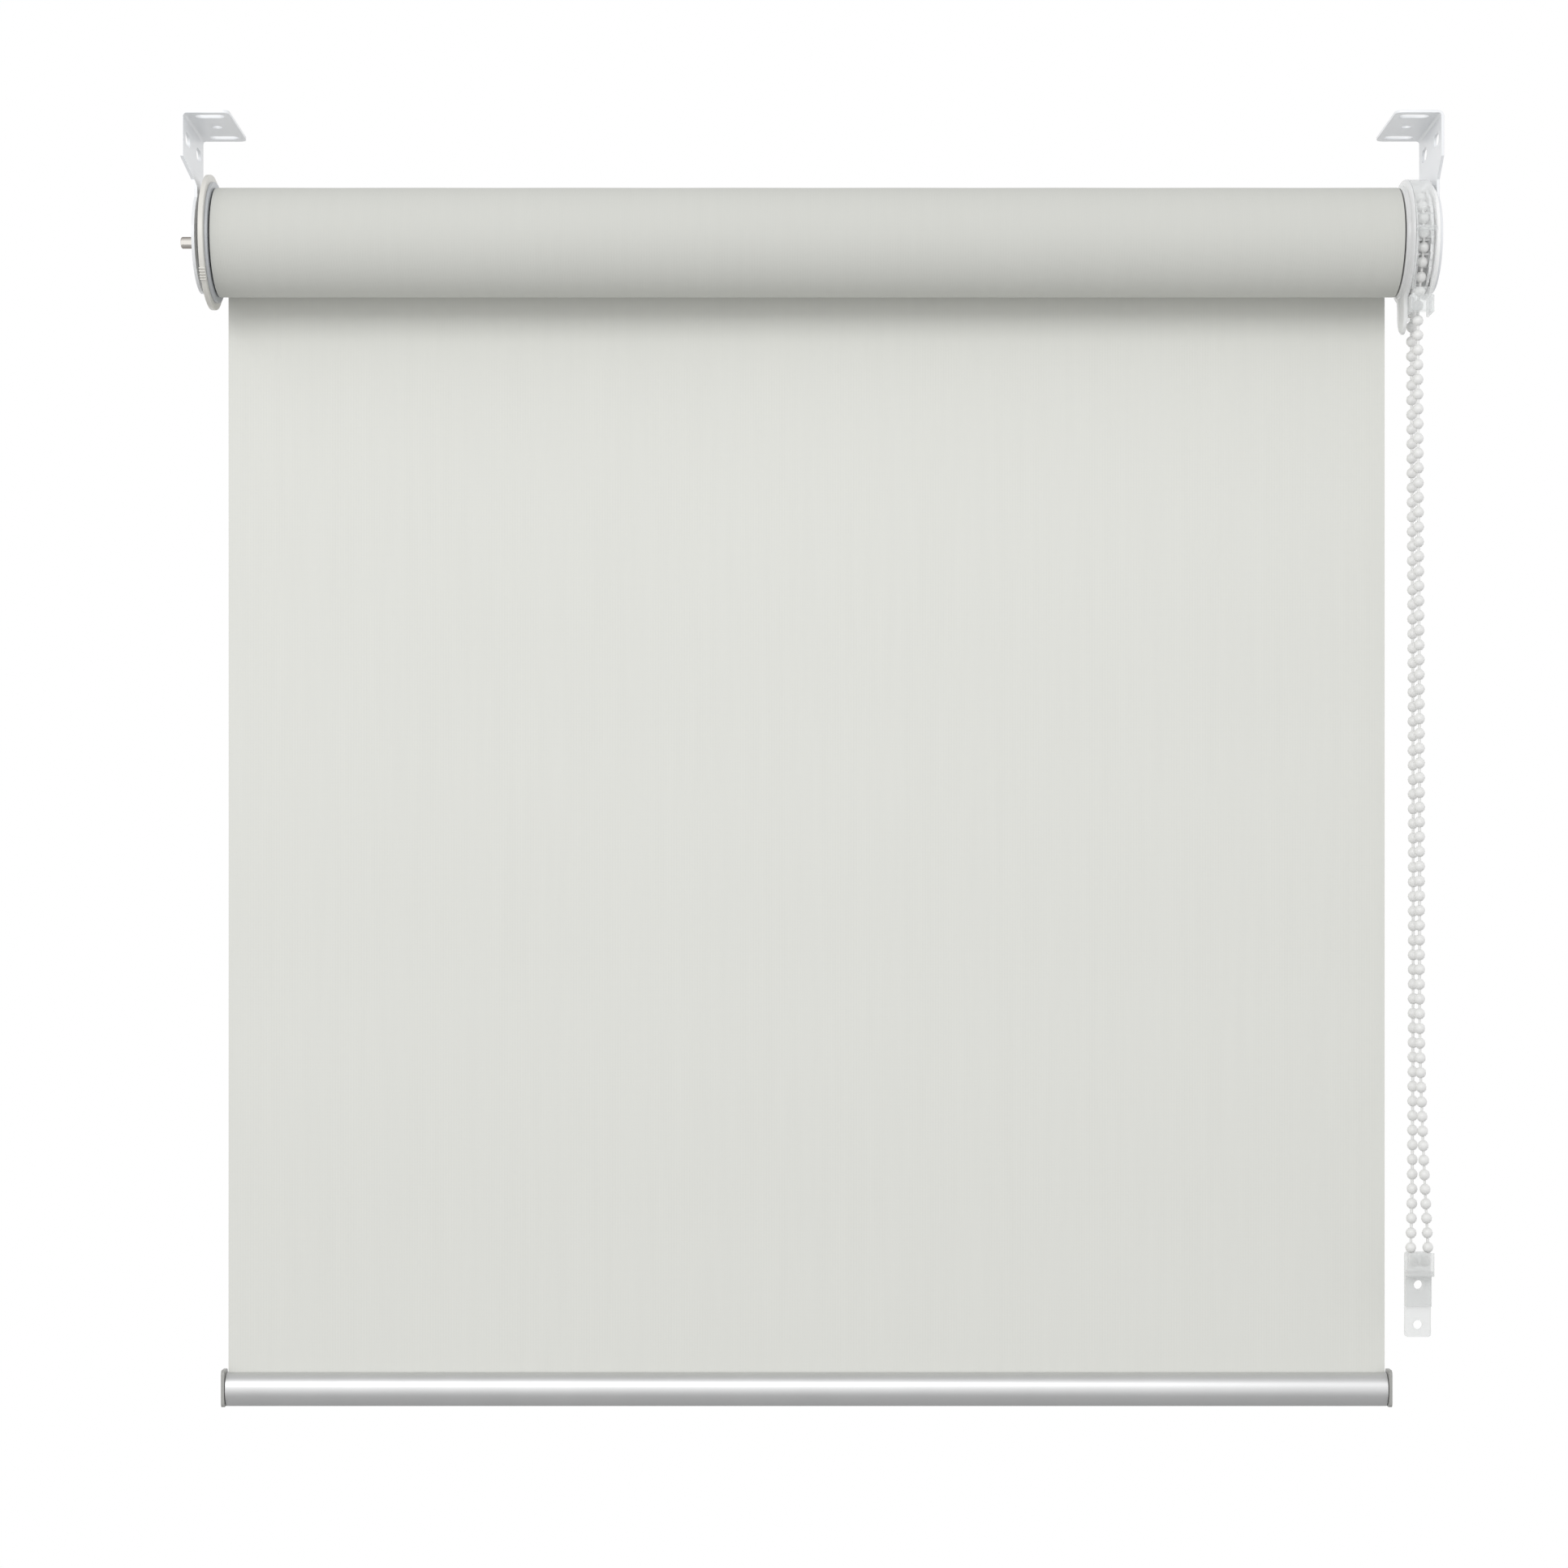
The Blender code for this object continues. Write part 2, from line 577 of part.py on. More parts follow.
def idle_end(spin, press):
    clear_plastic = (0.86, 0.87, 0.87)
    bore = PIN_R + CLEAR
    web = DISC_X + DISC_T - DISC_WEB
    rim = DISC_R - DISC_RIM
    profile = [(DISC_HUB_X, bore), (DISC_HUB_X, DISC_HUB_R), (web, DISC_HUB_R), (web, rim), (DISC_X, rim),
               (DISC_X, DISC_R), (DISC_X + DISC_T, DISC_R), (DISC_X + DISC_T, bore)]
    finish("idle_guard_disc", turned(profile, 56), clear_plastic, 0.3, alpha=0.6)

    body_x = PLUG_X + PLUG_FLANGE_T
    inner_wall = PLUG_X + PLUG_WALL
    profile = [(PLUG_X, bore), (PLUG_X, PLUG_FLANGE_R), (body_x, PLUG_FLANGE_R), (body_x, PLUG_R),
               (PLUG_END, PLUG_R), (PLUG_END, COLLAR_BORE), (inner_wall, COLLAR_BORE), (inner_wall, bore)]
    plug = cut(turned(profile), keyway(TUBE_LEFT - CLEAR, PLUG_END + CUT_PAST))
    finish("idle_plug", plug, clear_plastic, 0.35, parent=spin)

    profile = [(RETAINER_X, bore), (RETAINER_X, COLLAR_R), (PLUG_END, COLLAR_R), (PLUG_END, bore)]
    finish("pin_retainer", turned(profile, 32), (0.25, 0.25, 0.26), 0.5, parent=spin)

    chamfer = 0.5 * MM
    after = COLLAR_X + COLLAR_T
    profile = [(PIN_X, 0), (PIN_X, PIN_R - chamfer), (PIN_X + chamfer, PIN_R), (COLLAR_X, PIN_R),
               (COLLAR_X, COLLAR_R), (after, COLLAR_R), (after, PIN_R), (PIN_END, PIN_R), (PIN_END, 0)]
    finish("idle_pin", turned(profile, 32), (0.75, 0.72, 0.66), 0.12, 1.0, parent=press)

    mean = (PIN_R + COLLAR_BORE) / 2
    seat = CLEAR + SPRING_WIRE_R
    wire = tube(coil(mean, after + seat, RETAINER_X - seat, SPRING_TURNS), SPRING_WIRE_R)
    finish("pin_spring", wire, (0.6, 0.6, 0.6), 0.3, 1.0, parent=press)


# ---------------------------------------------------------------- drive end

def tangent_angle():
    """How far below level, in degrees, the chain leaves the sprocket for the guard's outlet."""
    reach = math.hypot(OUTLET_HALF, OUTLET_DOWN)
    return 90 - math.degrees(math.atan2(OUTLET_HALF, OUTLET_DOWN) + math.acos(PITCH_R / reach))


def wall_at(radius, down):
    """How far from the middle a straight guard wall is, the given distance below the axis."""
    slope = math.radians(tangent_angle())
    return (radius - down * math.sin(slope)) / math.cos(slope)


def guard_outline():
    """The guard seen from its side: a hood that narrows to the outlet at the bottom."""
    dip = tangent_angle()
    inner_r = GUARD_R - GUARD_WALL
    outer = [(wall_at(GUARD_R, GUARD_DOWN), -GUARD_DOWN)]
    outer += arc((0, 0), GUARD_R, -dip, 180 + dip, 36)
    outer.append((-wall_at(GUARD_R, GUARD_DOWN), -GUARD_DOWN))
    inner = [(-wall_at(inner_r, GUARD_DOWN), -GUARD_DOWN)]
    inner += arc((0, 0), inner_r, 180 + dip, -dip, 36)
    inner.append((wall_at(inner_r, GUARD_DOWN), -GUARD_DOWN))
    return outer + inner


def chain_guard():
    left = INNER_PLATE_RIGHT + CLEAR
    right = BASE_X - CLEAR
    body = extruded([guard_outline()], left, right, ALONG_X, (0, 0, AXIS_Z))
    low = (left + GUARD_FRAME, -GUARD_R - CUT_PAST, AXIS_Z - WINDOW_BOTTOM)
    high = (right - GUARD_FRAME, -OUTLET_HALF, AXIS_Z + WINDOW_TOP)
    cut(body, block(low, high))
    finish("chain_guard", body, (0.88, 0.89, 0.89), 0.1, alpha=0.35)

    side = math.degrees(math.asin(TONGUE_HALF / GUARD_R))
    outline = arc((0, 0), GUARD_R, side - 90, 270 - side, 48)
    outline += arc((0, TONGUE_HALF - TONGUE_DOWN), TONGUE_HALF, 180, 360, 12)
    hole = arc((0, 0), SLEEVE_R + SPIN_GAP, 0, 352.5, 47)
    plate = extruded([outline, hole], INNER_PLATE_LEFT, INNER_PLATE_RIGHT, ALONG_X, (0, 0, AXIS_Z))
    finish("guard_inner_plate", plate, (0.86, 0.87, 0.87), 0.15, alpha=0.5)


def clutch(spin, drive):
    clip_low = CLIP_X - CLEAR / 2
    clip_high = CLIP_X + CLIP_T + CLEAR / 2
    groove_r = POST_R - CLIP_GROOVE
    back = BASE_X + BASE_T
    profile = [(POST_END, 0), (POST_END, POST_R), (clip_low, POST_R), (clip_low, groove_r),
               (clip_high, groove_r), (clip_high, POST_R), (BASE_X, POST_R), (BASE_X, BASE_R),
               (back, BASE_R), (back, BOSS_R), (RIGHT_FACE, BOSS_R), (RIGHT_FACE, 0)]
    finish("clutch_base", turned(profile), (0.85, 0.86, 0.86), 0.3)

    bore = POST_R + CLEAR
    left, right = SPROCKET_LEFT, SPROCKET_RIGHT
    room = BEAD_R + CLEAR
    groove = arc((CHAIN_X, PITCH_R), room, 0, -180, 8)
    groove = [(CHAIN_X + room, SPROCKET_R)] + groove + [(CHAIN_X - room, SPROCKET_R)]
    web = SPROCKET_LEFT + SPROCKET_WEB
    profile = [(right, bore), (right, SPROCKET_R)] + groove
    profile += [(left, SPROCKET_R), (left, SLEEVE_R), (SLEEVE_END, SLEEVE_R), (SLEEVE_END, SLEEVE_BORE),
                (web, SLEEVE_BORE), (web, bore)]
    wheel = turned(profile, 45)
    half = SLEEVE_SLOT / 2
    gap = block((SLEEVE_END - CUT_PAST, -half, AXIS_Z + POST_R),
                (left - SLEEVE_END_RING, half, AXIS_Z + SLEEVE_R + CUT_PAST))
    finish("chain_sprocket", cut(wheel, gap), (0.9, 0.9, 0.89), 0.3, parent=drive)

    floor = SLEEVE_END - SPIN_GAP
    profile = [(HUB_FLANGE_RIGHT, SLEEVE_R + CLEAR), (HUB_FLANGE_RIGHT, HUB_FLANGE_R),
               (HUB_FLANGE_LEFT, HUB_FLANGE_R), (HUB_FLANGE_LEFT, PLUG_R), (HUB_END, PLUG_R),
               (HUB_END, bore), (floor, bore), (floor, SLEEVE_R + CLEAR)]
    hub = cut(turned(profile), keyway(HUB_END - CUT_PAST, TUBE_RIGHT + CLEAR))
    key_half = half - CLEAR
    key = block((floor - KEY_ROOT, -key_half, AXIS_Z + SLEEVE_BORE),
                (left - 3 * SLEEVE_END_RING, key_half, AXIS_Z + SLEEVE_R + CLEAR + KEY_ROOT))
    finish("drive_hub", shape(hub, key, "UNION"), (0.86, 0.87, 0.87), 0.35, parent=spin)

    long = WRAP_TURNS * WRAP_PITCH
    start = SLEEVE_END + WRAP_MARGIN
    tang = SLEEVE_BORE - WRAP_MEAN_R - WRAP_WIRE_R - CLEAR
    for name, x in (("wrap_spring_inner", start), ("wrap_spring_outer", start + long + WRAP_SPACE)):
        wire = tube(coil(WRAP_MEAN_R, x, x + long, WRAP_TURNS, tang), WRAP_WIRE_R)
        finish(name, wire, (0.5, 0.5, 0.5), 0.3, 1.0, parent=spin)

    ring = extruded([arc((0, 0), CLIP_R, 0, 352.5, 47), arc((0, 0), groove_r + CLEAR, 0, 348, 29)],
                    CLIP_X, CLIP_X + CLIP_T, ALONG_X, (0, 0, AXIS_Z))
    mouth_half = CLIP_MOUTH / 2
    mouth = block((CLIP_X - CLIP_T, -mouth_half, AXIS_Z - CLIP_R - CUT_PAST),
                  (CLIP_X + 2 * CLIP_T, mouth_half, AXIS_Z))
    finish("clutch_clip", cut(ring, mouth), (0.5, 0.5, 0.5), 0.3, 1.0)


# ---------------------------------------------------------------- chain and holder

def chain_wrap():
    """The stretch of chain inside the guard: round the sprocket and down to the outlet."""
    dip = tangent_angle()
    around = arc((0, 0), PITCH_R, -dip, 180 + dip, 22)
    down = -(GUARD_DOWN - CLEAR)
    rear = [(OUTLET_HALF, down), (OUTLET_HALF, -OUTLET_DOWN)]
    front = [(-OUTLET_HALF, -OUTLET_DOWN), (-OUTLET_HALF, down)]
    points = [Vector((CHAIN_X, y, AXIS_Z + z)) for y, z in rear + around + front]
    finish("chain_on_sprocket", tube(points, BEAD_R), (0.9, 0.9, 0.89), 0.3)


def chain_loop():
    route = [Vector(point) * MM + Vector((CHAIN_X, 0, AXIS_Z)) for point in CHAIN_ROUTE]
    finish("chain_loop", tube(smooth_route(route, CHAIN_STEP), BEAD_R), (0.9, 0.9, 0.89), 0.3)


def chain_holder():
    """A plate for the wall with a post, and a cover that keeps the chain on the post."""
    half = HOLDER_WIDE / 2
    top = AXIS_Z - HOLDER_TOP
    turn_z = AXIS_Z - TURN_DOWN
    room = BEAD_R + HEAD_ROOM
    plate_y = room + CLEAR
    # seen from the front: the outline's values are Z and X
    outline = rectangle((top - HOLDER_TALL, HOLDER_X - half), (top, HOLDER_X + half), HOLDER_CORNER)
    base = extruded([outline], plate_y, plate_y + HOLDER_T, ALONG_Y)
    front_y = -room
    ends = [(HOLDER_X, front_y + CLEAR, turn_z), (HOLDER_X, plate_y + HOLDER_T / 2, turn_z)]
    shape(base, cylinder(HOLDER_POST_R, *ends, ALONG_Y, 16), "UNION")
    far_y = plate_y + HOLDER_T + CUT_PAST
    ends = [[(HOLDER_X, y, top - down) for y in (-far_y, far_y)] for down in HOLDER_HOLES]
    for pair in ends:
        cut(base, cylinder(HOLDER_HOLE_R, *pair, ALONG_Y, 24))
    finish("holder_base", base, (0.88, 0.89, 0.89), 0.1, alpha=0.5)

    floor_z = turn_z - TURN_R - room
    flap_y = plate_y - CLEAR - FLAP_T
    outline = [(front_y - HEAD_FRONT, top), (front_y, top), (front_y, floor_z), (plate_y - CLEAR, floor_z),
               (plate_y - CLEAR, top - COVER_TALL), (flap_y, top - COVER_TALL),
               (flap_y, floor_z - HEAD_FLOOR), (front_y - HEAD_FRONT, floor_z - HEAD_FLOOR)]
    cover = extruded([outline], HOLDER_X - half, HOLDER_X + half, ALONG_X)
    cut(cover, cylinder(HOLDER_HOLE_R, *ends[0], ALONG_Y, 24))
    finish("holder_cover", cover, (0.88, 0.89, 0.89), 0.1, alpha=0.5)


# ---------------------------------------------------------------- bottom rail

def rail_outlines():
    """The extrusion's section: round front, flat back, a slot and channel on top, a hollow below."""
    top = RAIL_TOP
    bottom = RAIL_TOP - RAIL_TALL
    middle = (top + bottom) / 2
    slot_half = FABRIC / 2 + RAIL_SLOT_GAP
    channel_r = STRIP_R + CLEAR
    neck = math.degrees(math.asin(slot_half / channel_r))
    front = [(SHEET_Y - RAIL_FRONT * math.cos(math.radians(a)),
              middle - RAIL_TALL / 2 * math.sin(math.radians(a))) for a in range(-90, 91, 10)]
    front = [(min(y, SHEET_Y - slot_half), z) for y, z in front]
    back = rounded([(SHEET_Y, bottom), (SHEET_Y + RAIL_BACK, bottom), (SHEET_Y + RAIL_BACK, top),
                    (SHEET_Y + slot_half, top)], RAIL_CORNER, steps=3, closed=False)[1:]
    channel = arc((SHEET_Y, STRIP_Z), channel_r, 90 - neck, neck - 270, 20)
    wall = RAIL_WALL
    ceiling = STRIP_Z - channel_r - wall
    hollow = [(SHEET_Y + RAIL_BACK - wall, ceiling), (SHEET_Y + RAIL_BACK - wall, bottom + wall)]
    for a in range(60, -1, -20):
        y = SHEET_Y - (RAIL_FRONT - wall) * math.cos(math.radians(a))
        z = middle - (RAIL_TALL / 2 - wall) * math.sin(math.radians(a))
        if z < ceiling:
            hollow.append((y, z))
    hollow.append((SHEET_Y - (RAIL_FRONT - wall) * 0.98, ceiling))
    return [front + back + channel, hollow]


def bottom_rail(lift):
    section, hollow = rail_outlines()
    left = FABRIC_MID - RAIL_LONG / 2
    right = FABRIC_MID + RAIL_LONG / 2
    finish("rail_bar", extruded([section, hollow], left, right, ALONG_X), (0.8, 0.8, 0.8), 0.28, 1.0,
           parent=lift)
    ends = [(left + CAP_PEG, SHEET_Y, STRIP_Z), (right - CAP_PEG, SHEET_Y, STRIP_Z)]
    finish("rail_hem_strip", cylinder(STRIP_R, *ends, ALONG_X, 20), (0.9, 0.9, 0.88), parent=lift)
    low = (SHEET_Y - RAIL_FRONT - CLEAR, RAIL_TOP - RAIL_TALL)
    high = (SHEET_Y + RAIL_BACK + CLEAR, RAIL_TOP + CAP_RISE)
    middle = (sum(p[0] for p in hollow) / len(hollow), sum(p[1] for p in hollow) / len(hollow))
    peg = [shrink(point, middle) for point in hollow]
    for name, side, face in (("rail_cap_left", -1, left), ("rail_cap_right", 1, right)):
        near = face + side * CLEAR
        far = near + side * CAP_T
        cap = extruded([rectangle(low, high, CAP_CORNER)], min(near, far), max(near, far), ALONG_X)
        inside = face - side * CAP_PEG
        overlap = near + side * CAP_T / 2
        body = extruded([peg], min(inside, overlap), max(inside, overlap), ALONG_X)
        finish(name, shape(cap, body, "UNION"), (0.62, 0.62, 0.61), 0.45, parent=lift)


def shrink(point, middle):
    """A point of the hollow's outline, drawn in by the clearance."""
    away = Vector(point) - Vector(middle)
    return tuple(Vector(middle) + away * (1 - 1.4 * CLEAR / away.length))


def main():
    spin = axis("roller_axis", 0, 0, AXIS_Z)
    drive = axis("sprocket_axis", CHAIN_X, 0, AXIS_Z)
    press = axis("pin_axis", PIN_X, 0, AXIS_Z)
    lift = axis("rail_lift", FABRIC_MID, SHEET_Y, RAIL_TOP)
    brackets()
    roller(spin)
    fabric_sheet()
    idle_end(spin, press)
    clutch(spin, drive)
    chain_guard()
    chain_wrap()
    chain_loop()
    chain_holder()
    bottom_rail(lift)


main()
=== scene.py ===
# %% [markdown]
# # A roller blind, one piece at a time
# The blind has two steel brackets, a tube with fabric wound on it, a sprung pin at the idle end, a
# bead chain that turns a clutch at the drive end, and an aluminium rail that keeps the fabric flat.
# The solids that move and carry load already exist as a frame. This lesson gives them their surfaces,
# and makes finer pieces where a plain solid isn't enough: the beads, the sprocket, the wound fabric
# and the hanging sheet.

# %% The frame that everything is fitted to
import math

import bmesh
import bpy
from mathutils import Matrix, Vector


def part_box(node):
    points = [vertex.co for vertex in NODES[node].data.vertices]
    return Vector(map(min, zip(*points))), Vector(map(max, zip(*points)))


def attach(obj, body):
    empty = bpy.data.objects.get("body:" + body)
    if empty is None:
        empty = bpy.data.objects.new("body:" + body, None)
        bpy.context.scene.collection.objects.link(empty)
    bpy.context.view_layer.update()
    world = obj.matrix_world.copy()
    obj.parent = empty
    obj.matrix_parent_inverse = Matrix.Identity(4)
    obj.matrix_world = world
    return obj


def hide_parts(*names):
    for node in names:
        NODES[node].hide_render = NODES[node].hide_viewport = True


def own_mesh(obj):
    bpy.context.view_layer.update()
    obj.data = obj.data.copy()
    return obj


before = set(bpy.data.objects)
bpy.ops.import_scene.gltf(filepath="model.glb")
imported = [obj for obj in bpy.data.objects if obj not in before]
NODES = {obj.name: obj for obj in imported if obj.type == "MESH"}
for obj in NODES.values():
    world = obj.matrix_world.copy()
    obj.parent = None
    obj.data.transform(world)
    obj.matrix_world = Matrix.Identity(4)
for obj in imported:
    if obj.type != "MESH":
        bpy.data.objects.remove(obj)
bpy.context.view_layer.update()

MM = 0.001

# %% [markdown]
# ## Places read from the frame
# Every size below comes from a node's box, so a change in the model carries through to its looks.
# The fabric roll's box gives the roller's axis and the fabric's two edges; the sprocket's groove gives
# the plane that the chain runs in.

# %% Places
roll_low, roll_high = (Vector(c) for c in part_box("fabric_roll"))
sheet_low, sheet_high = (Vector(c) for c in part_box("fabric_sheet"))
wrap_low, wrap_high = (Vector(c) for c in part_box("chain_on_sprocket"))
AXIS_Z = (roll_low.z + roll_high.z) / 2
ROLL_R = (roll_high.z - roll_low.z) / 2
FABRIC_LEFT, FABRIC_RIGHT = roll_low.x, roll_high.x
FABRIC_MID = (FABRIC_LEFT + FABRIC_RIGHT) / 2
SHEET_Y = (sheet_low.y + sheet_high.y) / 2
CHAIN_X = (wrap_low.x + wrap_high.x) / 2
BEAD_R = (wrap_high.x - wrap_low.x) / 2
PITCH_R = wrap_high.z - AXIS_Z - BEAD_R
print("axis", round(AXIS_Z, 4), "roll", round(ROLL_R, 4), "pitch circle", round(PITCH_R, 5))

# %% [markdown]
# ## Camera, light and floor
# A long lens stands square to the blind, level with the lower half of the sheet, and looks up at the
# brackets by a lens shift, so upright edges stay parallel. The light is a white room with one large
# soft box above and in front. The floor lies well below, as under a real window.

# %% Camera, light and floor
CAMERA_AWAY = 1.30
CAMERA_LEFT = 0.0094        # from the fabric's middle
CAMERA_DOWN = 0.2974        # below the roller's axis
FOCAL = 72.86
SHIFT_UP = 0.1179
FLOOR_DOWN = 1.35
CEILING_LIGHT = 0.66        # of the walls' brightness
WALL_TOP = 0.32             # upward part of a direction, where the walls start to darken
CEILING_FROM = 0.8          # and where they have become the ceiling
FLOOR_R = 2.6
FLOOR_GREY = 0.55
KEY_PLACE = (-0.3, -1.5, 0.38)
KEY_AIM_DOWN = 0.25         # below the roller's axis
KEY_SIZE = (1.4, 0.6)
KEY_WATTS = 8.6


def make_camera():
    lens = bpy.data.cameras.new("camera")
    lens.lens = FOCAL
    lens.sensor_width = 36
    lens.shift_y = SHIFT_UP
    camera = bpy.data.objects.new("camera", lens)
    camera.location = (FABRIC_MID - CAMERA_LEFT, -CAMERA_AWAY, AXIS_Z - CAMERA_DOWN)
    camera.rotation_euler = (math.radians(90), 0, 0)
    bpy.context.scene.collection.objects.link(camera)
    bpy.context.scene.camera = camera


def soft_box(name, place, look_at, size, watts):
    lamp = bpy.data.lights.new(name, "AREA")
    lamp.shape = "RECTANGLE"
    lamp.size, lamp.size_y = size
    lamp.energy = watts
    body = bpy.data.objects.new(name, lamp)
    body.location = place
    body.rotation_euler = (Vector(look_at) - Vector(place)).to_track_quat("-Z", "Y").to_euler()
    bpy.context.scene.collection.objects.link(body)


def make_room():
    world = bpy.data.worlds.new("white room")
    world.use_nodes = True
    sky = world.node_tree.nodes["Background"]
    sky.inputs["Color"].default_value = (1, 1, 1, 1)
    tree = world.node_tree
    where = tree.nodes.new("ShaderNodeTexCoord")
    parts = tree.nodes.new("ShaderNodeSeparateXYZ")
    dim = tree.nodes.new("ShaderNodeMapRange")
    dim.inputs["From Min"].default_value = WALL_TOP
    dim.inputs["From Max"].default_value = CEILING_FROM
    dim.inputs["To Min"].default_value = 1.0
    dim.inputs["To Max"].default_value = CEILING_LIGHT
    tree.links.new(where.outputs["Generated"], parts.inputs["Vector"])
    tree.links.new(parts.outputs["Z"], dim.inputs["Value"])
    tree.links.new(dim.outputs["Result"], sky.inputs["Strength"])
    bpy.context.scene.world = world
    bpy.context.scene.view_settings.view_transform = "Standard"
    bm = bmesh.new()
    bmesh.ops.create_circle(bm, cap_ends=True, segments=128, radius=FLOOR_R,
                            matrix=Matrix.Translation((0, 0, AXIS_Z - FLOOR_DOWN)))
    mesh = bpy.data.meshes.new("floor")
    bm.to_mesh(mesh)
    bm.free()
    floor = bpy.data.objects.new("floor", mesh)
    bpy.context.scene.collection.objects.link(floor)
    pale = bpy.data.materials.new("floor")
    pale.use_nodes = True
    shader = pale.node_tree.nodes["Principled BSDF"]
    shader.inputs["Base Color"].default_value = (FLOOR_GREY, FLOOR_GREY, FLOOR_GREY, 1)
    shader.inputs["Roughness"].default_value = 0.9
    mesh.materials.append(pale)


make_camera()
make_room()
soft_box("key", KEY_PLACE, (0, 0, AXIS_Z - KEY_AIM_DOWN), KEY_SIZE, KEY_WATTS)
print("camera", [round(c, 4) for c in bpy.context.scene.camera.location])

# %% [markdown]
# ## Helpers for pieces
# Each new piece is a bmesh that becomes one object at the origin, rides on a body of the frame and
# stands for one or more of its nodes. A frame node whose shape is right is copied, its loose triangles
# are merged, and a narrow bevel softens its edges, because no moulded or folded edge is perfectly sharp.

# %% Helpers for pieces


def piece(name, bm, body, skins, stands_for, smooth_deg=35):
    """Turn a bmesh into an object with its finish, riding on a body and standing for frame nodes."""
    mesh = bpy.data.meshes.new(name)
    bm.to_mesh(mesh)
    bm.free()
    mesh.shade_smooth()
    mesh.set_sharp_from_angle(angle=math.radians(smooth_deg))
    made = bpy.data.objects.new(name, mesh)
    bpy.context.scene.collection.objects.link(made)
    for skin in skins if isinstance(skins, list) else [skins]:
        mesh.materials.append(skin)
    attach(made, body)
    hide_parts(*stands_for)
    print(name, len(mesh.polygons), "faces")
    return made


def merged(node):
    """A clean bmesh copy of a frame node: triangles merged, flat faces joined."""
    bm = bmesh.new()
    bm.from_mesh(NODES[node].data)
    bmesh.ops.remove_doubles(bm, verts=bm.verts, dist=2e-6)
    bmesh.ops.dissolve_limit(bm, angle_limit=math.radians(0.5), verts=bm.verts, edges=bm.edges)
    return bm


def soften(made, width, angle_deg, harden):
    """Bevel the edges that are sharper than the angle."""
    edge = made.modifiers.new("Soft edges", "BEVEL")
    edge.width = width
    edge.segments = 2
    edge.limit_method = "ANGLE"
    edge.angle_limit = math.radians(angle_deg)
    edge.harden_normals = harden


def softened(node, body, skin, width):
    """A copy of a frame node with its edges softened."""
    made = piece(node + "_finished", merged(node), body, skin, [node])
    soften(made, width, 40, True)
    return made


def add_mesh(bm, other):
    """Join another bmesh into this one, and free it."""
    holder = bpy.data.meshes.new("to join")
    other.to_mesh(holder)
    other.free()
    bm.from_mesh(holder)
    bpy.data.meshes.remove(holder)


def spun(profile, steps=64):
    """A ring: an outline of (x, radius) points turned about the roller's axis by the spin operator."""
    bm = bmesh.new()
    verts = [bm.verts.new((x, 0, AXIS_Z + radius)) for x, radius in profile]
    edges = [bm.edges.new(pair) for pair in zip(verts, verts[1:] + verts[:1])]
    bmesh.ops.spin(bm, geom=verts + edges, cent=(0, 0, AXIS_Z), axis=(1, 0, 0), dvec=(0, 0, 0),
                   angle=math.tau, steps=steps, use_merge=True, use_duplicate=False)
    bmesh.ops.remove_doubles(bm, verts=bm.verts, dist=1e-6)
    bmesh.ops.recalc_face_normals(bm, faces=bm.faces)
    return bm


# %% [markdown]
# ## Finishes
# Every finish starts from one recipe: a Principled shader whose colour drifts slightly with soft noise,
# and whose surface has a fine bump at the scale of the real texture. Object coordinates are in metres,
# so a noise scale of 1000 makes grain about a millimetre across.

# %% Finishes
CLOUD_SCALE = 45            # slow drift of colour
RIB_SCALE = 469.0           # upright ribs of the cloth, about 0.67 mm apart
WEFT_SCALE = 700.0
RIB_SHARE = 0.65            # of the weave's height; the rest is the weft's
SLUB = (260.0, 14.0, 1.0)   # short uneven threads
SHADE = (9.0, 3.0, 1.0)     # broad uneven patches
WEAVE_TONE, SLUB_TONE, SHADE_TONE = 0.03, 0.035, 0.02
PLAIN_TONE = 0.9575
SLUB_RISE = 0.6
WEAVE_RISE = 0.00006


def finish(name, colour, roughness, grain=900, bump=0.05, drift=0.03, depth=0.00005, **sockets):
    """A Principled material with slow colour drift and fine bumps in object space."""
    made = bpy.data.materials.new(name)
    made.use_nodes = True
    tree = made.node_tree
    shader = tree.nodes["Principled BSDF"]
    shader.inputs["Roughness"].default_value = roughness
    for key, value in sockets.items():
        shader.inputs[key.replace("_", " ")].default_value = value
    where = tree.nodes.new("ShaderNodeTexCoord")
    cloud = tree.nodes.new("ShaderNodeTexNoise")
    cloud.inputs["Scale"].default_value = CLOUD_SCALE
    cloud.inputs["Detail"].default_value = 3
    tree.links.new(where.outputs["Object"], cloud.inputs["Vector"])
    ramp = tree.nodes.new("ShaderNodeValToRGB")
    ramp.color_ramp.elements[0].position = 0.3
    ramp.color_ramp.elements[1].position = 0.7
    ramp.color_ramp.elements[0].color = (*[c * (1 - drift) for c in colour], 1)
    ramp.color_ramp.elements[1].color = (*[min(1, c * (1 + drift)) for c in colour], 1)
    tree.links.new(cloud.outputs["Fac"], ramp.inputs["Fac"])
    tree.links.new(ramp.outputs["Color"], shader.inputs["Base Color"])
    fine = tree.nodes.new("ShaderNodeTexNoise")
    fine.inputs["Scale"].default_value = grain
    fine.inputs["Detail"].default_value = 2
    tree.links.new(where.outputs["Object"], fine.inputs["Vector"])
    rise = tree.nodes.new("ShaderNodeBump")
    rise.inputs["Strength"].default_value = bump
    rise.inputs["Distance"].default_value = depth
    tree.links.new(fine.outputs["Fac"], rise.inputs["Height"])
    tree.links.new(rise.outputs["Normal"], shader.inputs["Normal"])
    return made


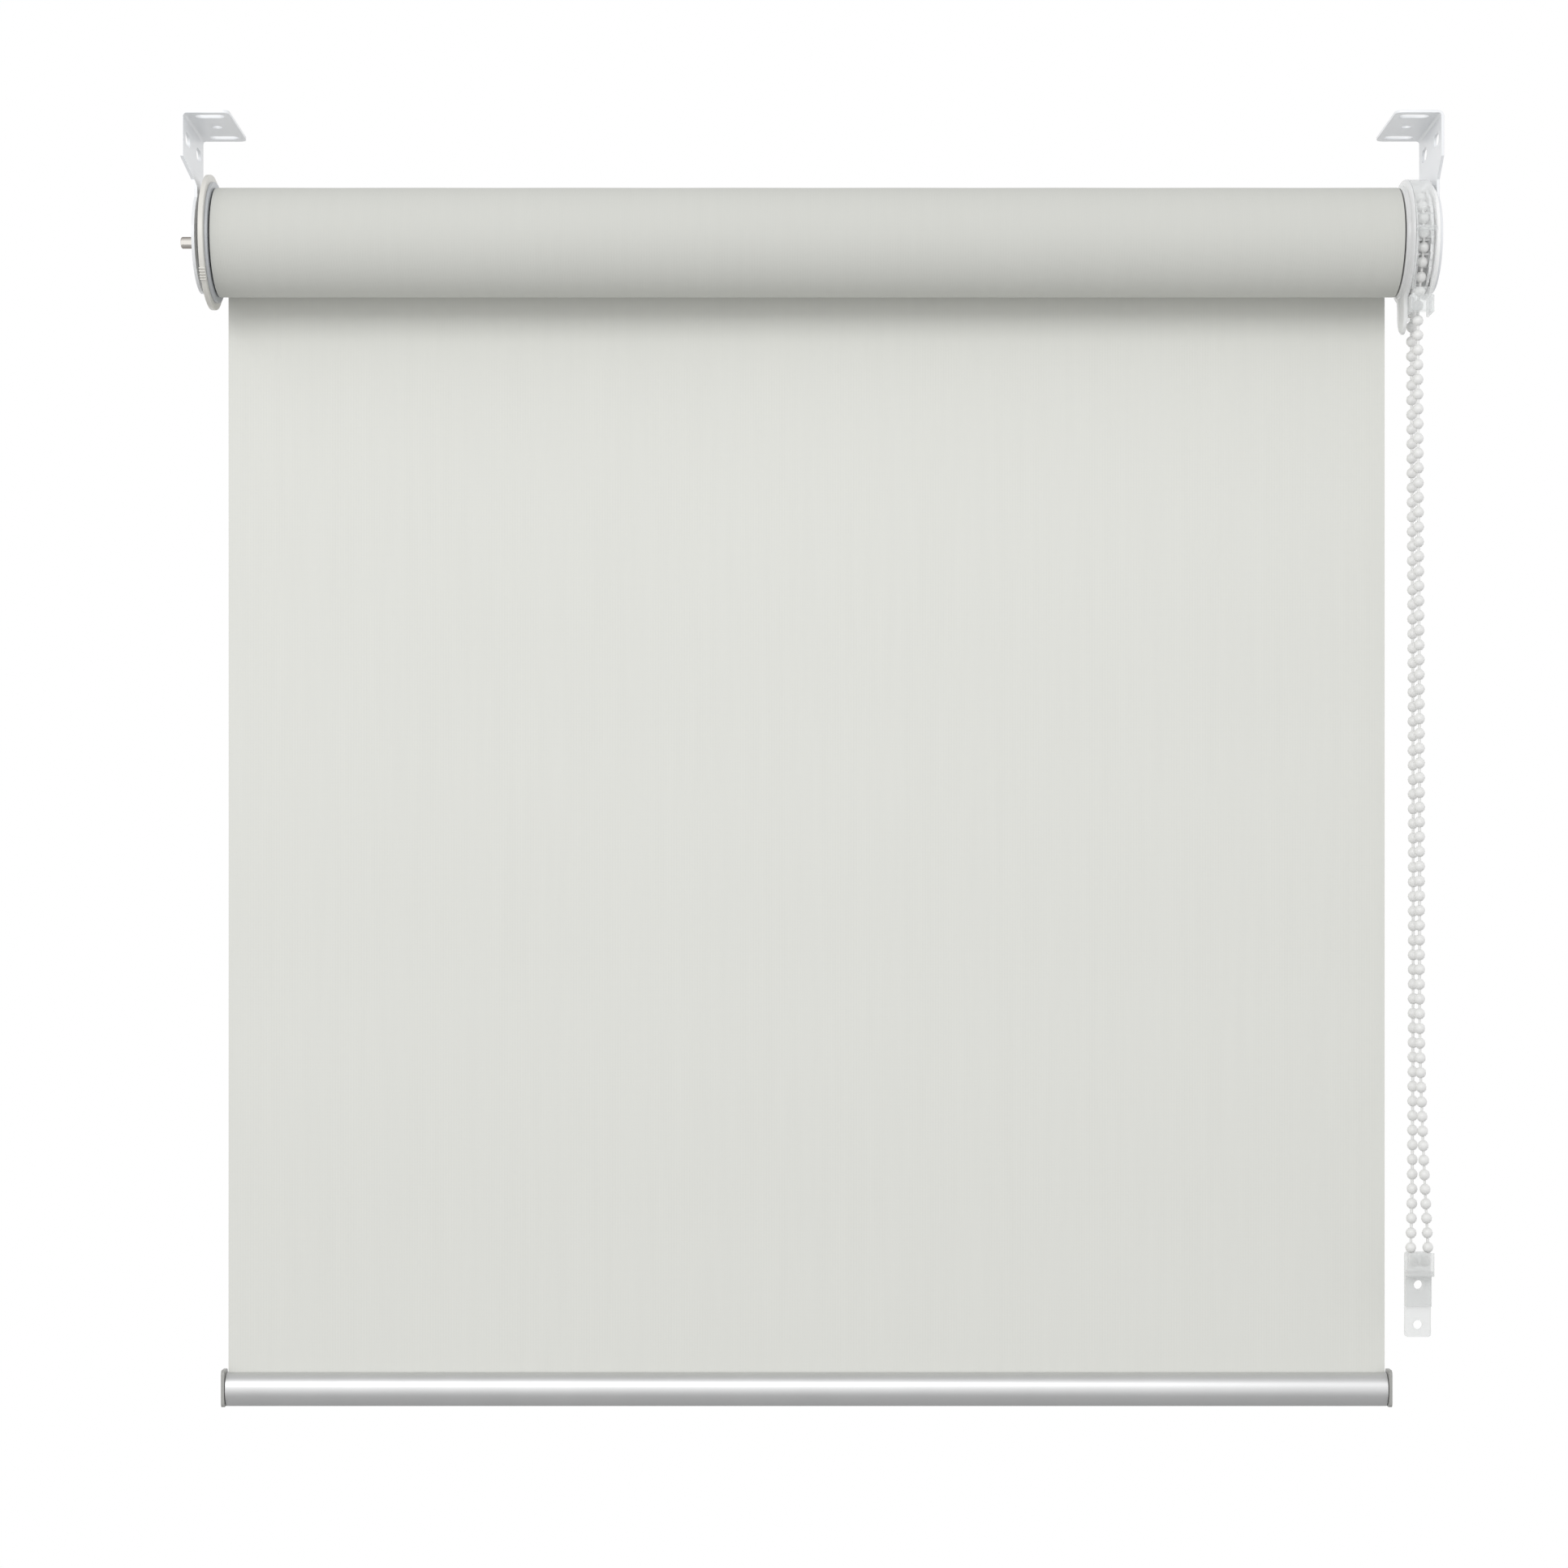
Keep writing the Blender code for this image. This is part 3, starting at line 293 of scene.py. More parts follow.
def veil(name, skin, thin, edge):
    """Turn a finish into thin clear plastic: mostly see-through face on, denser at its edges."""
    tree = skin.node_tree
    skin.name = name
    shader, out = tree.nodes["Principled BSDF"], tree.nodes["Material Output"]
    through = tree.nodes.new("ShaderNodeBsdfTransparent")
    through.inputs["Color"].default_value = (0.985, 0.99, 0.99, 1)
    facing = tree.nodes.new("ShaderNodeLayerWeight")
    facing.inputs["Blend"].default_value = 0.35
    share = tree.nodes.new("ShaderNodeMapRange")
    share.inputs["To Min"].default_value = thin
    share.inputs["To Max"].default_value = edge
    mix = tree.nodes.new("ShaderNodeMixShader")
    tree.links.new(facing.outputs["Facing"], share.inputs["Value"])
    tree.links.new(share.outputs["Result"], mix.inputs["Fac"])
    tree.links.new(through.outputs["BSDF"], mix.inputs[1])
    tree.links.new(shader.outputs["BSDF"], mix.inputs[2])
    tree.links.new(mix.outputs["Shader"], out.inputs["Surface"])
    return skin


def cloth(name, colour, rib_depth):
    """Woven cloth: upright ribs two thirds of a millimetre apart, finer weft, and soft uneven streaks."""
    made = bpy.data.materials.new(name)
    made.use_nodes = True
    tree = made.node_tree
    shader = tree.nodes["Principled BSDF"]
    shader.inputs["Roughness"].default_value = 0.85
    shader.inputs["Specular IOR Level"].default_value = 0.25
    shader.inputs["Sheen Weight"].default_value = 0.08
    where = tree.nodes.new("ShaderNodeTexCoord").outputs["UV"]

    def wave(direction, scale, wobble):
        made_wave = tree.nodes.new("ShaderNodeTexWave")
        made_wave.bands_direction = direction
        made_wave.inputs["Scale"].default_value = scale
        made_wave.inputs["Distortion"].default_value = wobble
        made_wave.inputs["Detail"].default_value = 1.5
        made_wave.inputs["Detail Scale"].default_value = 0.6
        tree.links.new(where, made_wave.inputs["Vector"])
        return made_wave.outputs["Fac"]

    def streaks(scale, detail):
        stretch = tree.nodes.new("ShaderNodeMapping")
        stretch.inputs["Scale"].default_value = scale
        tree.links.new(where, stretch.inputs["Vector"])
        cloud = tree.nodes.new("ShaderNodeTexNoise")
        cloud.inputs["Scale"].default_value = 1.0
        cloud.inputs["Detail"].default_value = detail
        tree.links.new(stretch.outputs["Vector"], cloud.inputs["Vector"])
        return cloud.outputs["Fac"]

    def maths(operation, a, b):
        step = tree.nodes.new("ShaderNodeMath")
        step.operation = operation
        for socket, value in zip(step.inputs, (a, b)):
            if isinstance(value, float):
                socket.default_value = value
            else:
                tree.links.new(value, socket)
        return step.outputs["Value"]

    ribs, weft = wave("X", RIB_SCALE, 0.8), wave("Y", WEFT_SCALE, 0.8)
    height = maths("ADD", maths("MULTIPLY", ribs, RIB_SHARE), maths("MULTIPLY", weft, 1 - RIB_SHARE))
    slub, shade = streaks(SLUB, 3), streaks(SHADE, 2)
    tone = maths("ADD", maths("MULTIPLY", height, WEAVE_TONE), maths("MULTIPLY", slub, SLUB_TONE))
    tone = maths("ADD", tone, maths("MULTIPLY", shade, SHADE_TONE))
    tone = maths("ADD", tone, PLAIN_TONE)
    tint = tree.nodes.new("ShaderNodeVectorMath")
    tint.operation = "SCALE"
    tint.inputs[0].default_value = colour
    tree.links.new(tone, tint.inputs["Scale"])
    tree.links.new(tint.outputs["Vector"], shader.inputs["Base Color"])
    rise = tree.nodes.new("ShaderNodeBump")
    rise.inputs["Strength"].default_value = rib_depth
    rise.inputs["Distance"].default_value = WEAVE_RISE
    tree.links.new(maths("ADD", height, maths("MULTIPLY", slub, SLUB_RISE)), rise.inputs["Height"])
    tree.links.new(rise.outputs["Normal"], shader.inputs["Normal"])
    return made


def drawn(skin, scale, strength):
    """Add the fine lines that drawing through a die leaves along a bar's length."""
    tree = skin.node_tree
    stretch = tree.nodes.new("ShaderNodeMapping")
    stretch.inputs["Scale"].default_value = scale
    lines = tree.nodes.new("ShaderNodeTexNoise")
    lines.inputs["Scale"].default_value = 1.0
    lines.inputs["Detail"].default_value = 3
    tree.links.new(tree.nodes["Texture Coordinate"].outputs["Object"], stretch.inputs["Vector"])
    tree.links.new(stretch.outputs["Vector"], lines.inputs["Vector"])
    rise = tree.nodes.new("ShaderNodeBump")
    rise.inputs["Strength"].default_value = strength
    rise.inputs["Distance"].default_value = 0.00004
    tree.links.new(lines.outputs["Fac"], rise.inputs["Height"])
    tree.links.new(tree.nodes["Bump"].outputs["Normal"], rise.inputs["Normal"])
    tree.links.new(rise.outputs["Normal"], tree.nodes["Principled BSDF"].inputs["Normal"])
    return skin


def outline_shaded(skin, centre, rim):
    """Polished metal painted darker and warmer towards its outline as seen from the camera: painted shade
    for the dark reflections at a polished rod's edges.
    """
    tree = skin.node_tree
    facing = tree.nodes.new("ShaderNodeLayerWeight")
    facing.inputs["Blend"].default_value = 0.5
    ramp = tree.nodes.new("ShaderNodeValToRGB")
    ramp.color_ramp.elements[0].position = 0.25
    ramp.color_ramp.elements[1].position = 0.8
    ramp.color_ramp.elements[0].color = (*centre, 1)
    ramp.color_ramp.elements[1].color = (*rim, 1)
    tree.links.new(facing.outputs["Facing"], ramp.inputs["Fac"])
    tree.links.new(ramp.outputs["Color"], tree.nodes["Principled BSDF"].inputs["Base Color"])
    return skin


white_paint = finish("white powder coat", (0.82, 0.835, 0.855), 0.38, grain=1400, bump=0.18, drift=0.01,
                     Coat_Weight=0.25, Coat_Roughness=0.2)
clear_plastic = veil("clear plastic", finish("clear", (0.96, 0.965, 0.965), 0.1, grain=500, bump=0.06,
                                             drift=0.01), 0.18, 0.72)
holder_plastic = veil("holder plastic", finish("moulded clear", (0.8, 0.805, 0.8), 0.14, grain=500,
                                               bump=0.08, drift=0.02), 0.38, 0.85)
cloudy_plastic = veil("cloudy plastic", finish("cloudy", (0.92, 0.925, 0.925), 0.16, grain=500, bump=0.06,
                                               drift=0.01), 0.62, 0.9)
smoky_plastic = finish("smoky plastic", (0.5, 0.52, 0.545), 0.35, grain=700, bump=0.08, drift=0.02)
milky_plastic = finish("milky plastic", (0.69, 0.68, 0.64), 0.35, grain=700, bump=0.08, drift=0.02)
frosted_plastic = finish("frosted plastic", (0.93, 0.935, 0.935), 0.3, grain=700, bump=0.08, drift=0.01,
                         Subsurface_Weight=0.3, Subsurface_Scale=0.002, Subsurface_Radius=(1, 1, 1))
bead_plastic = finish("bead plastic", (0.78, 0.78, 0.77), 0.28, grain=1200, bump=0.05, drift=0.02,
                      Subsurface_Weight=0.2, Subsurface_Scale=0.001, Subsurface_Radius=(1, 1, 1))
white_plastic = finish("white plastic", (0.85, 0.85, 0.83), 0.45, grain=1000, bump=0.1, drift=0.02)
dark_plastic = finish("dark plastic", (0.05, 0.05, 0.055), 0.5, grain=1000, bump=0.1, drift=0.1)
cap_plastic = finish("grey cap plastic", (0.36, 0.36, 0.345), 0.42, grain=1500, bump=0.15, drift=0.03)
# Painted shade: the pin's nickel is painted dark and warm towards its outline, for the reflections at its
# edges.
nickel = outline_shaded(finish("polished nickel", (0.72, 0.66, 0.57), 0.09, grain=2500, bump=0.03,
                            Metallic=1.0), (0.86, 0.83, 0.78), (0.1, 0.055, 0.03))
spring_steel = finish("spring steel", (0.42, 0.42, 0.43), 0.3, grain=3000, bump=0.1, drift=0.1,
                      Metallic=1.0)
mill_aluminium = drawn(finish("mill aluminium", (0.6, 0.61, 0.62), 0.35, bump=0.1, Metallic=1.0),
                       (3.0, 900.0, 900.0), 0.3)
satin_aluminium = drawn(finish("satin anodised aluminium", (0.67, 0.673, 0.675), 0.44, grain=1500,
                               bump=0.08, drift=0.02, Metallic=1.0), (2.0, 700.0, 700.0), 0.35)
cloth_face = cloth("cloth, room side", (0.695, 0.7, 0.664), 0.35)
cloth_reverse = cloth("cloth, window side", (0.58, 0.585, 0.554), 0.3)
cloth_edge = finish("cloth, cut edge", (0.6, 0.6, 0.56), 0.9, grain=2500, bump=0.4, drift=0.06)
print("finishes", len(bpy.data.materials))

# %% [markdown]
# ## Bead chain
# The chain is one endless loop: small white beads moulded on a cord, 6 mm apart. Its hanging part is a
# free cord, so it follows the same route as the model's plain tube. The route is smoothed
# by a Catmull-Rom curve, and beads are dropped on the whole loop at equal steps, so that they sit in
# the sprocket's pockets as they pass over it.

# %% The chain's route
CHAIN_ROUTE = (             # in mm from the sprocket's middle
    (0.0, -6.6, -29.9), (0.0, -6.6, -50.0), (0.2, -6.6, -100.0), (0.5, -6.6, -160.0),
    (0.7, -6.6, -230.0), (0.7, -6.6, -290.0), (0.8, -6.5, -325.0), (2.0, -4.7, -355.0),
    (3.7, -2.2, -385.0), (5.1, -0.2, -405.0), (5.4, 0.0, -415.0), (4.37, 0.0, -417.47),
    (1.9, 0.0, -418.5), (-0.57, 0.0, -417.47), (-1.6, 0.0, -415.0), (-1.4, 0.2, -405.0),
    (-0.6, 2.2, -385.0), (0.1, 4.7, -355.0), (0.6, 6.5, -325.0), (0.7, 6.6, -290.0),
    (0.7, 6.6, -230.0), (0.5, 6.6, -160.0), (0.2, 6.6, -100.0), (0.0, 6.6, -50.0),
    (0.0, 6.6, -29.9),
)
CHAIN_EXIT_DOWN = 0.0299    # below the axis, where the free chain starts
OUTLET_HALF = 0.0066        # from the axis to each run of the chain
OUTLET_DOWN = 0.028         # where a run turns towards the sprocket
WRAP_STEPS = 60
BEAD_STEP = 0.006
POCKETS = 20
THREAD_R = 0.00062
BEAD_STRETCH = 1.04
ROUTE_STEP = 0.004


def smooth_route(points, step):
    """Points along a Catmull-Rom curve through the given points."""
    ends = [points[0] * 2 - points[1]] + points + [points[-1] * 2 - points[-2]]
    made = [points[0]]
    for a, b, c, d in zip(ends, ends[1:], ends[2:], ends[3:]):
        parts = max(3, round((c - b).length / step))
        for k in range(1, parts + 1):
            t = k / parts
            made.append(0.5 * ((2 * b) + (c - a) * t + (2 * a - 5 * b + 4 * c - d) * t * t
                               + (3 * b - a - 3 * c + d) * t ** 3))
    return made


def wrap_route():
    """Rear outlet, up and over the sprocket, and down to the front outlet."""
    reach = math.hypot(OUTLET_HALF, OUTLET_DOWN)
    dip = math.pi / 2 - math.atan2(OUTLET_HALF, OUTLET_DOWN) - math.acos(PITCH_R / reach)
    turns = [-dip + (math.pi + 2 * dip) * k / WRAP_STEPS for k in range(WRAP_STEPS + 1)]
    over = [Vector((CHAIN_X, PITCH_R * math.cos(t), AXIS_Z + PITCH_R * math.sin(t))) for t in turns]
    rear = [Vector((CHAIN_X, OUTLET_HALF, AXIS_Z - down)) for down in (CHAIN_EXIT_DOWN, OUTLET_DOWN)]
    front = [Vector((CHAIN_X, -OUTLET_HALF, AXIS_Z - down)) for down in (OUTLET_DOWN, CHAIN_EXIT_DOWN)]
    return rear + over + front


def lengths(points):
    run = [0.0]
    for a, b in zip(points, points[1:]):
        run.append(run[-1] + (b - a).length)
    return run


def at_length(points, run, distance):
    """The point that lies the given distance along the route."""
    i = max(k for k, r in enumerate(run[:-1]) if r <= distance)
    share = (distance - run[i]) / (run[i + 1] - run[i])
    return points[i].lerp(points[i + 1], share), (points[i + 1] - points[i]).normalized()


free_route = smooth_route([Vector(p) * MM + Vector((CHAIN_X, 0, AXIS_Z)) for p in CHAIN_ROUTE],
                          ROUTE_STEP)
over_route = wrap_route()
free_run, over_run = lengths(free_route), lengths(over_route)
LOOP = free_run[-1] + over_run[-1]
BEADS = round(LOOP / BEAD_STEP)
BEAD_GAP = LOOP / BEADS
print("free chain", round(free_run[-1], 4), "loop", round(LOOP, 4))
print("beads", BEADS, "step", round(BEAD_GAP, 6))

# %% [markdown]
# ### Beads and thread
# One bead is a small icosphere, a little longer than it is wide, with smooth shading. The same operator
# makes it again at each place on the route, turned along the chain by a matrix. The thread that joins
# the beads is a fine six-sided tube.

# %% Beads and thread


def add_beads(bm, places):
    for place, along in places:
        turn = along.to_track_quat("Z", "X").to_matrix().to_4x4()
        size = Matrix.Diagonal((BEAD_R, BEAD_R, BEAD_R * BEAD_STRETCH, 1))
        bmesh.ops.create_icosphere(bm, subdivisions=2, radius=1,
                                   matrix=Matrix.Translation(place) @ turn @ size)


def add_thread(bm, points, radius, sides=6):
    """A fine tube: one ring of edges at each point, joined by the bridge operator."""
    rings = []
    for i, point in enumerate(points):
        along = (points[min(i + 1, len(points) - 1)] - points[max(i - 1, 0)]).normalized()
        turn = along.to_track_quat("Z", "X").to_matrix().to_4x4()
        made = bmesh.ops.create_circle(bm, cap_ends=False, segments=sides, radius=radius,
                                       matrix=Matrix.Translation(point) @ turn)
        ring = set(made["verts"])
        rings.append([e for e in bm.edges if e.verts[0] in ring] if i == 0 else
                     list({e for v in made["verts"] for e in v.link_edges}))
    for a, b in zip(rings, rings[1:]):
        bmesh.ops.bridge_loops(bm, edges=a + b)


def chain_piece(name, points, run, start, node):
    """Beads at the loop's equal steps that fall on this stretch, and the thread that joins them."""
    bm = bmesh.new()
    first = math.ceil(start / BEAD_GAP - 1e-9)
    last = math.floor((start + run[-1]) / BEAD_GAP - 1e-9)
    places = [at_length(points, run, k * BEAD_GAP - start) for k in range(first, last + 1)]
    add_beads(bm, places)
    add_thread(bm, points, THREAD_R)
    made = piece(name, bm, "ceiling_frame", bead_plastic, [node], smooth_deg=70)
    return made


half_wrap = over_run[-1] / 2
chain_piece("chain_beads_on_sprocket", over_route, over_run, -half_wrap, "chain_on_sprocket")
free_beads = chain_piece("chain_beads_loop", free_route, free_run, half_wrap, "chain_loop")

# %% [markdown]
# ## Cloth
# The cloth is 0.42 mm thick. The wound part is a spiral of sixteen turns under one closed outer turn, so
# the roll looks the same however far it has turned. The hanging part is a grid that leaves the back of
# the roll, falls to the bottom rail with a very slight wave, and is then given its thickness. Both
# carry a map in metres, so the weave has the same size on each.

# %% Wound cloth
CLOTH_T = 0.42 * MM
TUBE_R = (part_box("roller_tube")[1][2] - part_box("roller_tube")[0][2]) / 2
WOUND_TURNS = 16
ROUND_STEPS = 96
RUN_STEPS = 48
TURN_STEPS = 36             # for each turn inside
UNEVEN = 0.05 * MM
UNEVEN_RUN = 23 / 0.24      # waves of the outer turn along the roller, in radians a metre
INNER_SHORT = 0.2 * MM      # at each end, so that the outer turn covers the inner ones
TUBE_GAP = 0.75 * MM
TURN_GAP = 0.03 * MM
END_ON = 0.9                # a face whose normal goes this far along an axis is a cut edge


def grid_mapped(across, along, place):
    """A grid from the grid operator, with each vertex moved to place(u, v); u and v run from 0 to 1."""
    bm = bmesh.new()
    bmesh.ops.create_grid(bm, x_segments=across, y_segments=along, size=0.5)
    for vert in bm.verts:
        vert.co = place(vert.co.x + 0.5, vert.co.y + 0.5)
    return bm


def add_weave_map(bm, to_uv):
    layer = bm.loops.layers.uv.new("weave")
    for face in bm.faces:
        middle = face.calc_center_median()
        for loop in face.loops:
            loop[layer].uv = to_uv(loop.vert.co, middle)


def round_uv(co, middle):
    """Metres along the roller and round it; the angle is counted near the face's own middle."""
    base = math.atan2(middle.z - AXIS_Z, middle.y)
    turn = math.atan2(co.z - AXIS_Z, co.y)
    turn += math.tau * round((base - turn) / math.tau)
    return co.x, turn * ROLL_R


def outer_turn(u, v):
    x = FABRIC_LEFT + (FABRIC_RIGHT - FABRIC_LEFT) * u
    a = math.tau * v
    radius = ROLL_R + UNEVEN * math.sin(UNEVEN_RUN * x + 1.3) * math.sin(2 * a)
    return Vector((x, radius * math.cos(a), AXIS_Z + radius * math.sin(a)))


def inner_turns(u, v):
    x = FABRIC_LEFT + INNER_SHORT + (FABRIC_RIGHT - FABRIC_LEFT - 2 * INNER_SHORT) * u
    first, last = TUBE_R + TUBE_GAP, ROLL_R - CLOTH_T - TURN_GAP
    radius = first + (last - first) * v
    a = math.tau * WOUND_TURNS * v
    return Vector((x, radius * math.cos(a), AXIS_Z + radius * math.sin(a)))


def thickened(bm, thickness):
    """Give an open surface its thickness, towards the side that its normals don't face."""
    bmesh.ops.solidify(bm, geom=bm.faces[:], thickness=thickness)


def make_roll():
    outer = grid_mapped(RUN_STEPS, ROUND_STEPS, outer_turn)
    bmesh.ops.remove_doubles(outer, verts=outer.verts, dist=1e-6)
    bmesh.ops.recalc_face_normals(outer, faces=outer.faces)
    thickened(outer, CLOTH_T)
    inner = grid_mapped(1, WOUND_TURNS * TURN_STEPS, inner_turns)
    thickened(inner, CLOTH_T)
    add_mesh(outer, inner)
    add_weave_map(outer, round_uv)
    for face in outer.faces:
        face.material_index = 1 if abs(face.normal.x) > END_ON else 0
    return piece("wound_cloth", outer, "roller", [cloth_reverse, cloth_edge], ["fabric_roll"])


roll = make_roll()

# %% Hanging cloth
SHEET_LOW = sheet_low.z
LIFT_OFF = math.radians(42)
ARC_SHARE = 0.05            # of the grid's rows, spent on the arc round the roll
START_UNDER = 0.06 * MM     # below the roll's surface
WAVE = 0.35 * MM
SMALL_WAVE = 0.45           # of the large one
CALM = 0.7                  # how soon the waves die out towards the roll and the rail
ACROSS, DOWN = 64, 120
drop = AXIS_Z - SHEET_LOW


def sheet_place(u, v):
    """v is 0 just under the roll's surface, where the cloth starts to leave it, and 1 in the rail."""
    x = FABRIC_LEFT + (FABRIC_RIGHT - FABRIC_LEFT) * u
    if v < ARC_SHARE:
        a = LIFT_OFF * (1 - v / ARC_SHARE)
        low_r, high_r = SHEET_Y, ROLL_R - CLOTH_T / 2 - START_UNDER
        radius = low_r + (high_r - low_r) * (a / LIFT_OFF)
        return Vector((x, radius * math.cos(a), AXIS_Z + radius * math.sin(a)))
    t = (v - ARC_SHARE) / (1 - ARC_SHARE)
    calm = math.sin(math.pi * t) ** CALM if 0 < t < 1 else 0.0
    large, small = math.sin(5.1 * u + 0.6 + 1.2 * t), math.sin(11.3 * u + 2.1 - 2.4 * t)
    return Vector((x, SHEET_Y + WAVE * calm * (large + SMALL_WAVE * small), AXIS_Z - drop * t))


def make_sheet():
    bm = grid_mapped(ACROSS, DOWN, sheet_place)
    for face in bm.faces:
        face.normal_update()
    middle = min(bm.faces, key=lambda f: abs(f.calc_center_median().z - (AXIS_Z - drop / 2)))
    if middle.normal.y > 0:
        bmesh.ops.reverse_faces(bm, faces=bm.faces[:])
    front = set(bm.faces)
    thickened(bm, CLOTH_T)
    bmesh.ops.translate(bm, verts=bm.verts, vec=(0, -CLOTH_T / 2, 0))
    add_weave_map(bm, lambda co, _: (co.x, co.z))
    for face in bm.faces:
        if face in front:
            face.material_index = 0
        else:
            cut = max(abs(face.normal.x), abs(face.normal.z)) > END_ON
            face.material_index = 2 if cut else 1
    return piece("hanging_cloth", bm, "ceiling_frame", [cloth_face, cloth_reverse, cloth_edge],
                 ["fabric_sheet"])


hanging = make_sheet()
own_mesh(hanging)

# %% [markdown]
# ## Drive end
# The sprocket is the frame's wheel with a rib between each pair of beads and small scallops on its two
# rims. Ribs and scallops repeat every 18 degrees, half a step away from the beads. The guard is the
# frame's hood with a clear screen over the upper part of its window, a raised band across the screen and
# a box round the chain's outlet. The inner plate gets a rounded shoulder and a lip towards the roll.

# %% Sprocket and guard
sprocket_low, sprocket_high = (Vector(c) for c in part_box("chain_sprocket"))
SPROCKET_R = (sprocket_high.z - sprocket_low.z) / 2
SPROCKET_HALF = sprocket_high.x - CHAIN_X
ROOM = BEAD_R + 0.3 * MM    # half of the groove for the beads
RIB = (2 * ROOM + 0.4 * MM, 1.1 * MM, 2.2 * MM)
RIB_IN = 1.9 * MM           # inside the line of the beads
RIB_ROUND = 0.25 * MM
SCALLOP_LONG, SCALLOP_TALL = 3.4 * MM, 1.6 * MM
SCALLOP_IN = 0.1 * MM
SCREEN_LOW = -3.7 * MM      # from the axis
SCREEN_TOP = 6.6 * MM
HOOD_WALL = 1.4 * MM
HOOD_FRAME = 1.2 * MM       # beside the window
BAND_UP = 0.7 * MM
BAND_PAST = 0.3 * MM        # beyond each side of the hood
BAND_DEEP, BAND_TALL = 2.2 * MM, 2.1 * MM
BAND_IN = 1.4 * MM          # its middle, from the hood's front
OUTLET_RIGHT = 252.8 * MM
OUTLET_TOP_DOWN = 23.4 * MM
OUTLET_END_DOWN = 30.6 * MM
OUTLET_REACH = 11.2 * MM
OUTLET_WALL = 1.2 * MM
EDGE_ROUND = 0.5 * MM
SHOULDER = 1.25 * MM
SHOULDER_FROM = 15 * MM     # only edges further out than this are rounded
ROLL_GAP = 0.7 * MM         # from the lip to the roll
LIP_DEEP = 3.5 * MM
LIP_SINK = 0.2 * MM         # into the plate


def add_block(bm, size, place, round_by, segments=2):
    """A box from the cube operator, placed by a matrix, with all of its edges bevelled."""
    made = bmesh.ops.create_cube(bm, size=1, matrix=place @ Matrix.Diagonal((*size, 1)))
    edges = list({e for v in made["verts"] for e in v.link_edges})
    bmesh.ops.bevel(bm, geom=edges, offset=round_by, segments=segments, profile=0.5, affect="EDGES",
                    clamp_overlap=True, material=-1)


def about_axis(angle, radius, x):
    """A matrix whose X is the roller's direction and whose Z points out from the axis at the angle."""
    return (Matrix.Translation((x, 0, AXIS_Z)) @ Matrix.Rotation(angle, 4, "X")
            @ Matrix.Translation((0, 0, radius)))


def make_sprocket():
    bm = merged("chain_sprocket")
    step = math.tau / POCKETS
    rim = SPROCKET_HALF - ROOM
    for k in range(POCKETS):
        angle = (k + 0.5) * step
        add_block(bm, RIB, about_axis(angle, PITCH_R - RIB_IN, CHAIN_X), RIB_ROUND)
        for side in (-1, 1):
            x = CHAIN_X + side * (ROOM + rim / 2)
            add_block(bm, (rim, SCALLOP_LONG, SCALLOP_TALL), about_axis(angle, SPROCKET_R - SCALLOP_IN, x),
                      EDGE_ROUND, 3)
    return piece("sprocket_wheel", bm, "sprocket", frosted_plastic, ["chain_sprocket"])


def arc_wall(left, right, inside, outside, bottom, top, steps=8):
    """A curved wall on the room side: an outline turned about the axis, with its two ends filled."""
    low, high = math.asin(bottom / outside), math.asin(top / outside)
    bm = bmesh.new()
    outline = ((left, inside), (right, inside), (right, outside), (left, outside))
    verts = [bm.verts.new((x, -r * math.cos(low), AXIS_Z + r * math.sin(low))) for x, r in outline]
    edges = [bm.edges.new(pair) for pair in zip(verts, verts[1:] + verts[:1])]
    bmesh.ops.spin(bm, geom=verts + edges, cent=(0, 0, AXIS_Z), axis=(-1, 0, 0), dvec=(0, 0, 0),
                   angle=high - low, steps=steps, use_merge=False, use_duplicate=False)
    bmesh.ops.holes_fill(bm, edges=[e for e in bm.edges if e.is_boundary], sides=4)
    bmesh.ops.recalc_face_normals(bm, faces=bm.faces)
    print("screen's open edges", sum(e.is_boundary for e in bm.edges))
    return bm


def make_guard():
    bm = merged("chain_guard")
    low, high = (Vector(c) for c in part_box("chain_guard"))
    middle_x = (low.x + high.x) / 2
    add_mesh(bm, arc_wall(low.x + HOOD_FRAME, high.x - HOOD_FRAME, -low.y - HOOD_WALL, -low.y,
                          SCREEN_LOW, SCREEN_TOP))
    add_block(bm, (high.x - low.x + 2 * BAND_PAST, BAND_DEEP, BAND_TALL),
              Matrix.Translation((middle_x, low.y + BAND_IN, AXIS_Z + BAND_UP)), EDGE_ROUND, 3)
    left, right = low.x, OUTLET_RIGHT
    tall = OUTLET_END_DOWN - OUTLET_TOP_DOWN
    middle_z = AXIS_Z - (OUTLET_TOP_DOWN + OUTLET_END_DOWN) / 2
    add_block(bm, (right - left, OUTLET_WALL, tall),
              Matrix.Translation(((left + right) / 2, -OUTLET_REACH, middle_z)), EDGE_ROUND, 3)
    for x in (left + OUTLET_WALL / 2, right - OUTLET_WALL / 2):
        add_block(bm, (OUTLET_WALL, OUTLET_REACH, tall),
                  Matrix.Translation((x, -OUTLET_REACH / 2, middle_z)), EDGE_ROUND, 3)
    return piece("chain_hood", bm, "ceiling_frame", clear_plastic, ["chain_guard"])


